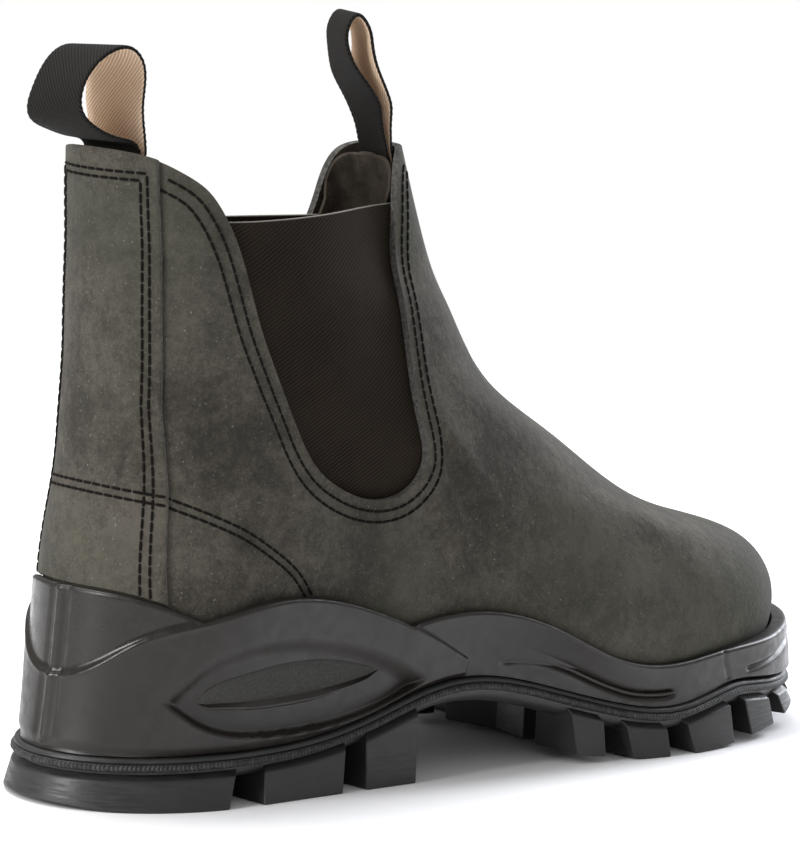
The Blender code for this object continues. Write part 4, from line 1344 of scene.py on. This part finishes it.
def make_lugs():
    """Every lug of the tread, as one joined piece with softened edges."""
    vertices = []
    faces = []
    for start, end in lug_turns():
        grid = lug_grid(start, end)
        faces += bar_faces(len(grid), grid.shape[1], len(vertices))
        vertices += grid.reshape(-1, 3).tolist()
    for start, end in CENTRE_LUGS:
        sections = []
        for side in (-1, 0, 1):
            point = (1 - abs(side)) * TREAD_GAP
            x = np.array([x_at(start), x_at(end), x_at(end), x_at(start)]) + point
            half = read(OUTLINE, (start + end) / 2) * SOLE_WIDTH * CENTRE_HALF
            y = middle_line(np.full(4, x_at((start + end) / 2))) + side * half
            z = np.where([True, True, False, False], tread_height(x), plate_under(x) + PLATE_THICKNESS / 3)
            sections.append(np.stack([x, y, z], axis=1))
        faces += bar_faces(3, 4, len(vertices))
        vertices += np.concatenate(sections).tolist()
    lugs = place("outsole_lugs", make_mesh("outsole_lugs", vertices, faces), [RUBBER], sharp=30.0)
    bevel = lugs.modifiers.new("soft_edges", "BEVEL")
    bevel.width = LUG_BEVEL
    bevel.segments = 2
    bevel.limit_method = "ANGLE"
    bevel.angle_limit = math.radians(35)
    bevel.harden_normals = True


def make_shank_lugs():
    """Small rounded treads under the arch."""
    vertices = []
    faces = []
    around = 28
    for along, across, half_long, half_wide, depth in SHANK_LUGS:
        x0 = x_at(along)
        top = float(plate_under(np.array([x0]))[0]) + 0.002
        y0 = float(middle_line(np.array([x0]))[0]) + across * SOLE_WIDTH
        rings = []
        for size, drop in ((1.0, 0.0), (1.0, depth * 0.75), (0.93, depth * 0.92), (0.78, depth)):
            angle = np.linspace(0, 2 * math.pi, around, endpoint=False)
            c = np.cos(angle)
            s = np.sin(angle)
            x = x0 + np.sign(c) * np.abs(c) ** 0.6 * half_long * size
            y = y0 + np.sign(s) * np.abs(s) ** 0.6 * half_wide * size
            rings.append(np.stack([x, y, np.full(around, top - drop - 0.002 * (drop > 0))], axis=1))
        faces += bar_faces(4, around, len(vertices))
        vertices += np.concatenate(rings).tolist()
    place("shank_treads", make_mesh("shank_treads", vertices, faces), [RUBBER])


def loop_foot(foot):
    return np.array([x_at(foot[0]), foot[1] * SOLE_WIDTH, foot[2] * COLLAR_HEIGHT])


def make_loop(name, table, foot, turn, bend, gather, node):
    """A folded strip of webbing: black outside, cream inside, with a scalloped selvedge."""
    foot = loop_foot(foot)
    table = np.array(table) * WEBBING_RISE
    outer_path = smooth_path(table[:, :2], 12)
    inner_path = smooth_path(table[:, -2:], 12)
    run = run_along(outer_path)
    across_count = 25
    spread = np.sin(np.linspace(-math.pi / 2, math.pi / 2, across_count)) / 2
    sides = []
    for side in (0.5, -0.5):
        rows = []
        for w in spread:
            rim = math.sqrt(max(1 - (2 * abs(w)) ** 24, 0))
            path = outer_path * (0.5 - w) + inner_path * (0.5 + w)
            edge = offset_path(path, side * WEBBING_WALL * (0.45 + 0.55 * rim))
            up = edge[:, 1] / WEBBING_RISE
            flat = smooth_step(up / WEBBING_STRAIGHT)
            wide = smooth_step((up - WEBBING_GATHERED) / (WEBBING_WIDE - WEBBING_GATHERED))
            angle = math.radians(turn) * smooth_step(up / WEBBING_TURNED)
            scallop = SCALLOP_REACH * np.sin(run * 2 * math.pi / SCALLOP_PITCH) * (abs(w) > SELVEDGE)
            across = w * WEBBING_WIDTH * (gather + (1 - gather) * wide) + math.copysign(1, w) * scallop
            ahead = edge[:, 0] + (foot[1] + across) ** 2 / (2 * bend) * (1 - flat)
            x = foot[0] + ahead * np.cos(angle) + across * np.sin(angle)
            y = foot[1] - ahead * np.sin(angle) + across * np.cos(angle)
            rows.append(np.stack([x, y, foot[2] + edge[:, 1]], axis=1))
        sides.append(np.stack(rows))
    count = 2 * across_count
    length = len(run)
    vertices = sheet_points(*sides)
    faces = [tuple(f) for f in grid_faces(count, length, False, True)]
    slots = list(np.repeat([0] * (across_count + 1) + [1] * (across_count - 3) + [0] * 2, length - 1))
    for i in (0, length - 1):
        faces.append(tuple(j * length + i for j in range(count)))
        slots.append(0)
    lay = np.concatenate([spread, spread[::-1]]) * WEBBING_WIDTH
    attributes = {"run": np.tile(run, count), "across": np.repeat(lay, length)}
    mesh = make_mesh(name, vertices, faces, slots, attributes)
    place(name, mesh, [BLACK_TAPE, CREAM_TAPE], [node])


def make_facing(name, ahead, half_width, tail_half, depth):
    """The lining sewn inside the collar over a loop's ends. Ahead is 1 for the front and -1 for the back."""
    levels = np.linspace(FACING_LEVEL, 1, 46)
    reach = np.linspace(-half_width, half_width, 81)
    rows = []
    for level in levels:
        half = last_half(level)
        share = reach / half_length(half)
        rows.append(ring_at(half, np.where(reach < 0, -1, 1) * (1 - np.abs(share)) if ahead > 0 else -share))
    grid = np.stack(rows)
    out = normals(grid, False)
    z = grid[:, :, 2]
    top = COLLAR_HEIGHT * GORE_TOP[-1][1]
    base = UPPER_WALL + FIT_GAP + (GORE_WALL + FIT_GAP) * (1 - smooth_step((z - top) / 0.004))
    near_tail = 1 - smooth_step((np.abs(reach) - tail_half - 0.0008) / 0.014)
    deep = base + (depth - base) * near_tail[None, :] * smooth_step((z - 0.150) / 0.013)
    face = grid - out * deep[:, :, None]
    rear = grid - out * (deep + FACING_WALL)[:, :, None]
    vertices = sheet_points(face, rear)
    faces = sheet_faces(len(levels), len(reach))
    facing = place(name, make_mesh(name, vertices, faces), [LINING, LINING, LINING])
    carve(facing, opening_cutter(), "DIFFERENCE")


def stitches(name, rows):
    """Short threads lying along the rows. Each row is its points and their outward directions."""
    ring = 6
    stations = ((-0.5, 0.45), (-0.44, 0.85), (-0.2, 1.0), (0.2, 1.0), (0.44, 0.85), (0.5, 0.45))
    vertices = []
    faces = []
    first = 0
    for points, outs in rows:
        at, step = even_path(points, STITCH_PITCH)
        run = run_along(points)
        places = (np.arange(len(at)) + 0.5) * run[-1] / len(at)
        up = unit(spread_at(outs, run, places))
        side = np.cross(step, up)
        for centre, along, lift, across in zip(at, step, up, side):
            for share, size in stations:
                rise = STITCH_RADIUS * (STITCH_ARCH * size - STITCH_SINK)
                middle = centre + along * share * STITCH_LENGTH + lift * rise
                for k in range(ring):
                    angle = 2 * math.pi * k / ring
                    swing = across * math.cos(angle) + lift * math.sin(angle)
                    vertices.append(middle + swing * STITCH_RADIUS * size)
            faces += bar_faces(len(stations), ring, first)
            first += len(stations) * ring
    place(name, make_mesh(name, np.array(vertices), faces), [THREAD])


def side_row(tree, path, side):
    """A side view's path laid on the leather."""
    points = []
    outs = []
    for x, z in path:
        found = cast(tree, x, z, side)
        if found is None:
            continue
        points.append(found[0])
        outs.append(found[1])
    return np.array(points), np.array(outs)


def leather_rows(tree):
    """Double rows round both gores and over the heel counter."""
    rows = []
    edge = smooth_path(in_metres(LEATHER_EDGE), 8)
    keep = (edge[:, 0] > x_at(0.082)) & (edge[:, 1] < COLLAR_HEIGHT * 0.985) & (edge[:, 0] < x_at(0.40))
    counter = smooth_path(from_heel(COUNTER_ROW), 6)
    counter = counter[counter[:, 1] > wave_height(counter[:, 0]) + 0.0005]
    for side in (-1, 1):
        for far in (SEAM_IN, SEAM_IN + SEAM_APART):
            rows.append(side_row(tree, offset_path(edge, far)[keep], side))
        for drop in (0.0, COUNTER_APART):
            rows.append(side_row(tree, offset_path(counter, drop), side))
    return rows


def backstay_rows(grid, outs, distances):
    """Double row up each edge of the backstay, joined under the collar, and across it at the counter."""
    rows = []
    for inset, top in (
        (STRIP_SEAM_IN, STRIP_SEAM_TOP),
        (STRIP_SEAM_IN + STRIP_SEAM_APART, STRIP_SEAM_TOP - STRIP_SEAM_APART),
    ):
        left = float(np.interp(-BACKSTAY_HALF_WIDTH + inset, distances, np.arange(len(distances))))
        right = len(distances) - 1 - left
        up_points, up_outs = strip_line(grid, outs, left, top)
        down_points, down_outs = strip_line(grid, outs, right, top)
        across_points, across_outs = strip_across(grid, outs, left, right, top)
        rows.append((up_points, up_outs))
        rows.append((across_points, across_outs))
        rows.append((down_points, down_outs))
    for height in (COUNTER_TOP, COUNTER_TOP - COUNTER_APART):
        left = float(np.interp(-BACKSTAY_HALF_WIDTH + 0.0006, distances, np.arange(len(distances))))
        rows.append(strip_across(grid, outs, left, len(distances) - 1 - left, height, COUNTER_SAG))
    return rows


def read_column(grid, place_across):
    """A grid's values at a fractional column."""
    low = min(int(place_across), grid.shape[1] - 2)
    part = place_across - low
    return grid[:, low] * (1 - part) + grid[:, low + 1] * part


def strip_line(grid, outs, place_across, top):
    """A line up the backstay at a fractional column, as far as a height."""
    points, away = (read_column(values, place_across) for values in (grid, outs))
    keep = points[:, 2] < top
    return points[keep], away[keep]


def strip_across(grid, outs, left, right, height, sag=0.0):
    """A line across the backstay between two fractional columns, level or sagging with y squared."""
    columns = np.linspace(left, right, 40)
    points = []
    away = []
    for place_across in columns:
        line, out = (read_column(values, place_across) for values in (grid, outs))
        at = height - sag * float(np.interp(height, line[:, 2], line[:, 1])) ** 2
        points.append([np.interp(at, line[:, 2], line[:, k]) for k in range(3)])
        away.append([np.interp(at, line[:, 2], out[:, k]) for k in range(3)])
    return np.array(points), np.array(away)


def make_camera():
    azimuth = math.radians(CAMERA_AZIMUTH)
    elevation = math.radians(CAMERA_ELEVATION)
    roll = math.radians(CAMERA_ROLL)
    back = Vector((math.sin(azimuth) * math.cos(elevation), -math.cos(azimuth) * math.cos(elevation),
                   math.sin(elevation)))
    level = (-back).cross(Vector((0, 0, 1))).normalized()
    up = level.cross(-back)
    right = level * math.cos(roll) + up * math.sin(roll)
    top = up * math.cos(roll) - level * math.sin(roll)
    data = bpy.data.cameras.new("camera")
    data.sensor_width = SENSOR
    data.lens = CAMERA_FOCUS_PIXELS / PHOTO_SIZE[1] * SENSOR
    data.shift_x = (PHOTO_SIZE[0] / 2 - PRINCIPAL_POINT[0]) / PHOTO_SIZE[1]
    data.shift_y = (PRINCIPAL_POINT[1] - PHOTO_SIZE[1] / 2) / PHOTO_SIZE[1]
    data.clip_start = 0.05
    data.clip_end = 60.0
    camera = bpy.data.objects.new("camera", data)
    spot = Vector(CAMERA_TARGET) + back * CAMERA_DISTANCE
    camera.matrix_world = Matrix((
        (right.x, top.x, back.x, spot.x),
        (right.y, top.y, back.y, spot.y),
        (right.z, top.z, back.z, spot.z),
        (0, 0, 0, 1),
    ))
    bpy.context.scene.collection.objects.link(camera)
    bpy.context.scene.camera = camera


def make_light(name, place_at, target, size, power, colour):
    data = bpy.data.lights.new(name, "AREA")
    data.shape = "RECTANGLE"
    data.size, data.size_y = size
    data.energy = power
    data.color = colour
    lamp = bpy.data.objects.new(name, data)
    lamp.location = place_at
    lamp.rotation_euler = (Vector(target) - Vector(place_at)).to_track_quat("-Z", "Y").to_euler()
    bpy.context.scene.collection.objects.link(lamp)


def make_studio():
    """A pale floor under soft white light."""
    size = FLOOR_HALF
    mesh = bpy.data.meshes.new("floor")
    corners = [(-size, -size, 0), (size, -size, 0), (size, size, 0), (-size, size, 0)]
    mesh.from_pydata(corners, [], [(0, 1, 2, 3)])
    floor = bpy.data.objects.new("floor", mesh)
    bpy.context.scene.collection.objects.link(floor)
    s = Shader("floor_paper", 0.6)
    mesh.materials.append(s.finish((0.95, 0.95, 0.96, 1)))
    world = bpy.data.worlds.new("studio")
    world.use_nodes = True
    back = world.node_tree.nodes["Background"]
    back.inputs[0].default_value = (1, 1, 1, 1)
    seen = world.node_tree.nodes.new("ShaderNodeMath")
    seen.operation = "MULTIPLY_ADD"
    seen.inputs[1].default_value = 1 - ROOM_LIGHT
    seen.inputs[2].default_value = ROOM_LIGHT
    ray = world.node_tree.nodes.new("ShaderNodeLightPath")
    world.node_tree.links.new(ray.outputs["Is Camera Ray"], seen.inputs[0])
    world.node_tree.links.new(seen.outputs[0], back.inputs[1])
    bpy.context.scene.world = world
    for light in LIGHTS:
        make_light(*light)
    view = bpy.context.scene.view_settings
    view.view_transform = "Standard"
    view.look = "None"


make_camera()
make_studio()
last_tree = make_upper()
backstay_grid, backstay_outs, backstay_distances = make_backstay()
make_gores()
make_insole()
wall_tree = make_midsole()
make_panels(wall_tree)
make_beads(wall_tree)
make_outsole()
make_lugs()
make_shank_lugs()
make_loop("back_loop_tape", BACK_LOOP, BACK_LOOP_FOOT, 0.0, BACK_BEND, BACK_GATHER, "pull_loop_back")
make_loop("front_loop_tape", FRONT_LOOP, FRONT_LOOP_FOOT, FRONT_LOOP_TURN, -FRONT_BEND, FRONT_GATHER,
          "pull_loop_front")
make_facing("collar_facing_back", -1, FACING_BACK_HALF, WEBBING_WIDTH * BACK_GATHER / 2, FACING_BACK_DEPTH)
make_facing("collar_facing_front", 1, FACING_FRONT_HALF, WEBBING_WIDTH * FRONT_GATHER / 2, FACING_FRONT_DEPTH)
stitches("leather_stitches", leather_rows(last_tree))
stitches("backstay_stitches", backstay_rows(backstay_grid, backstay_outs, backstay_distances))
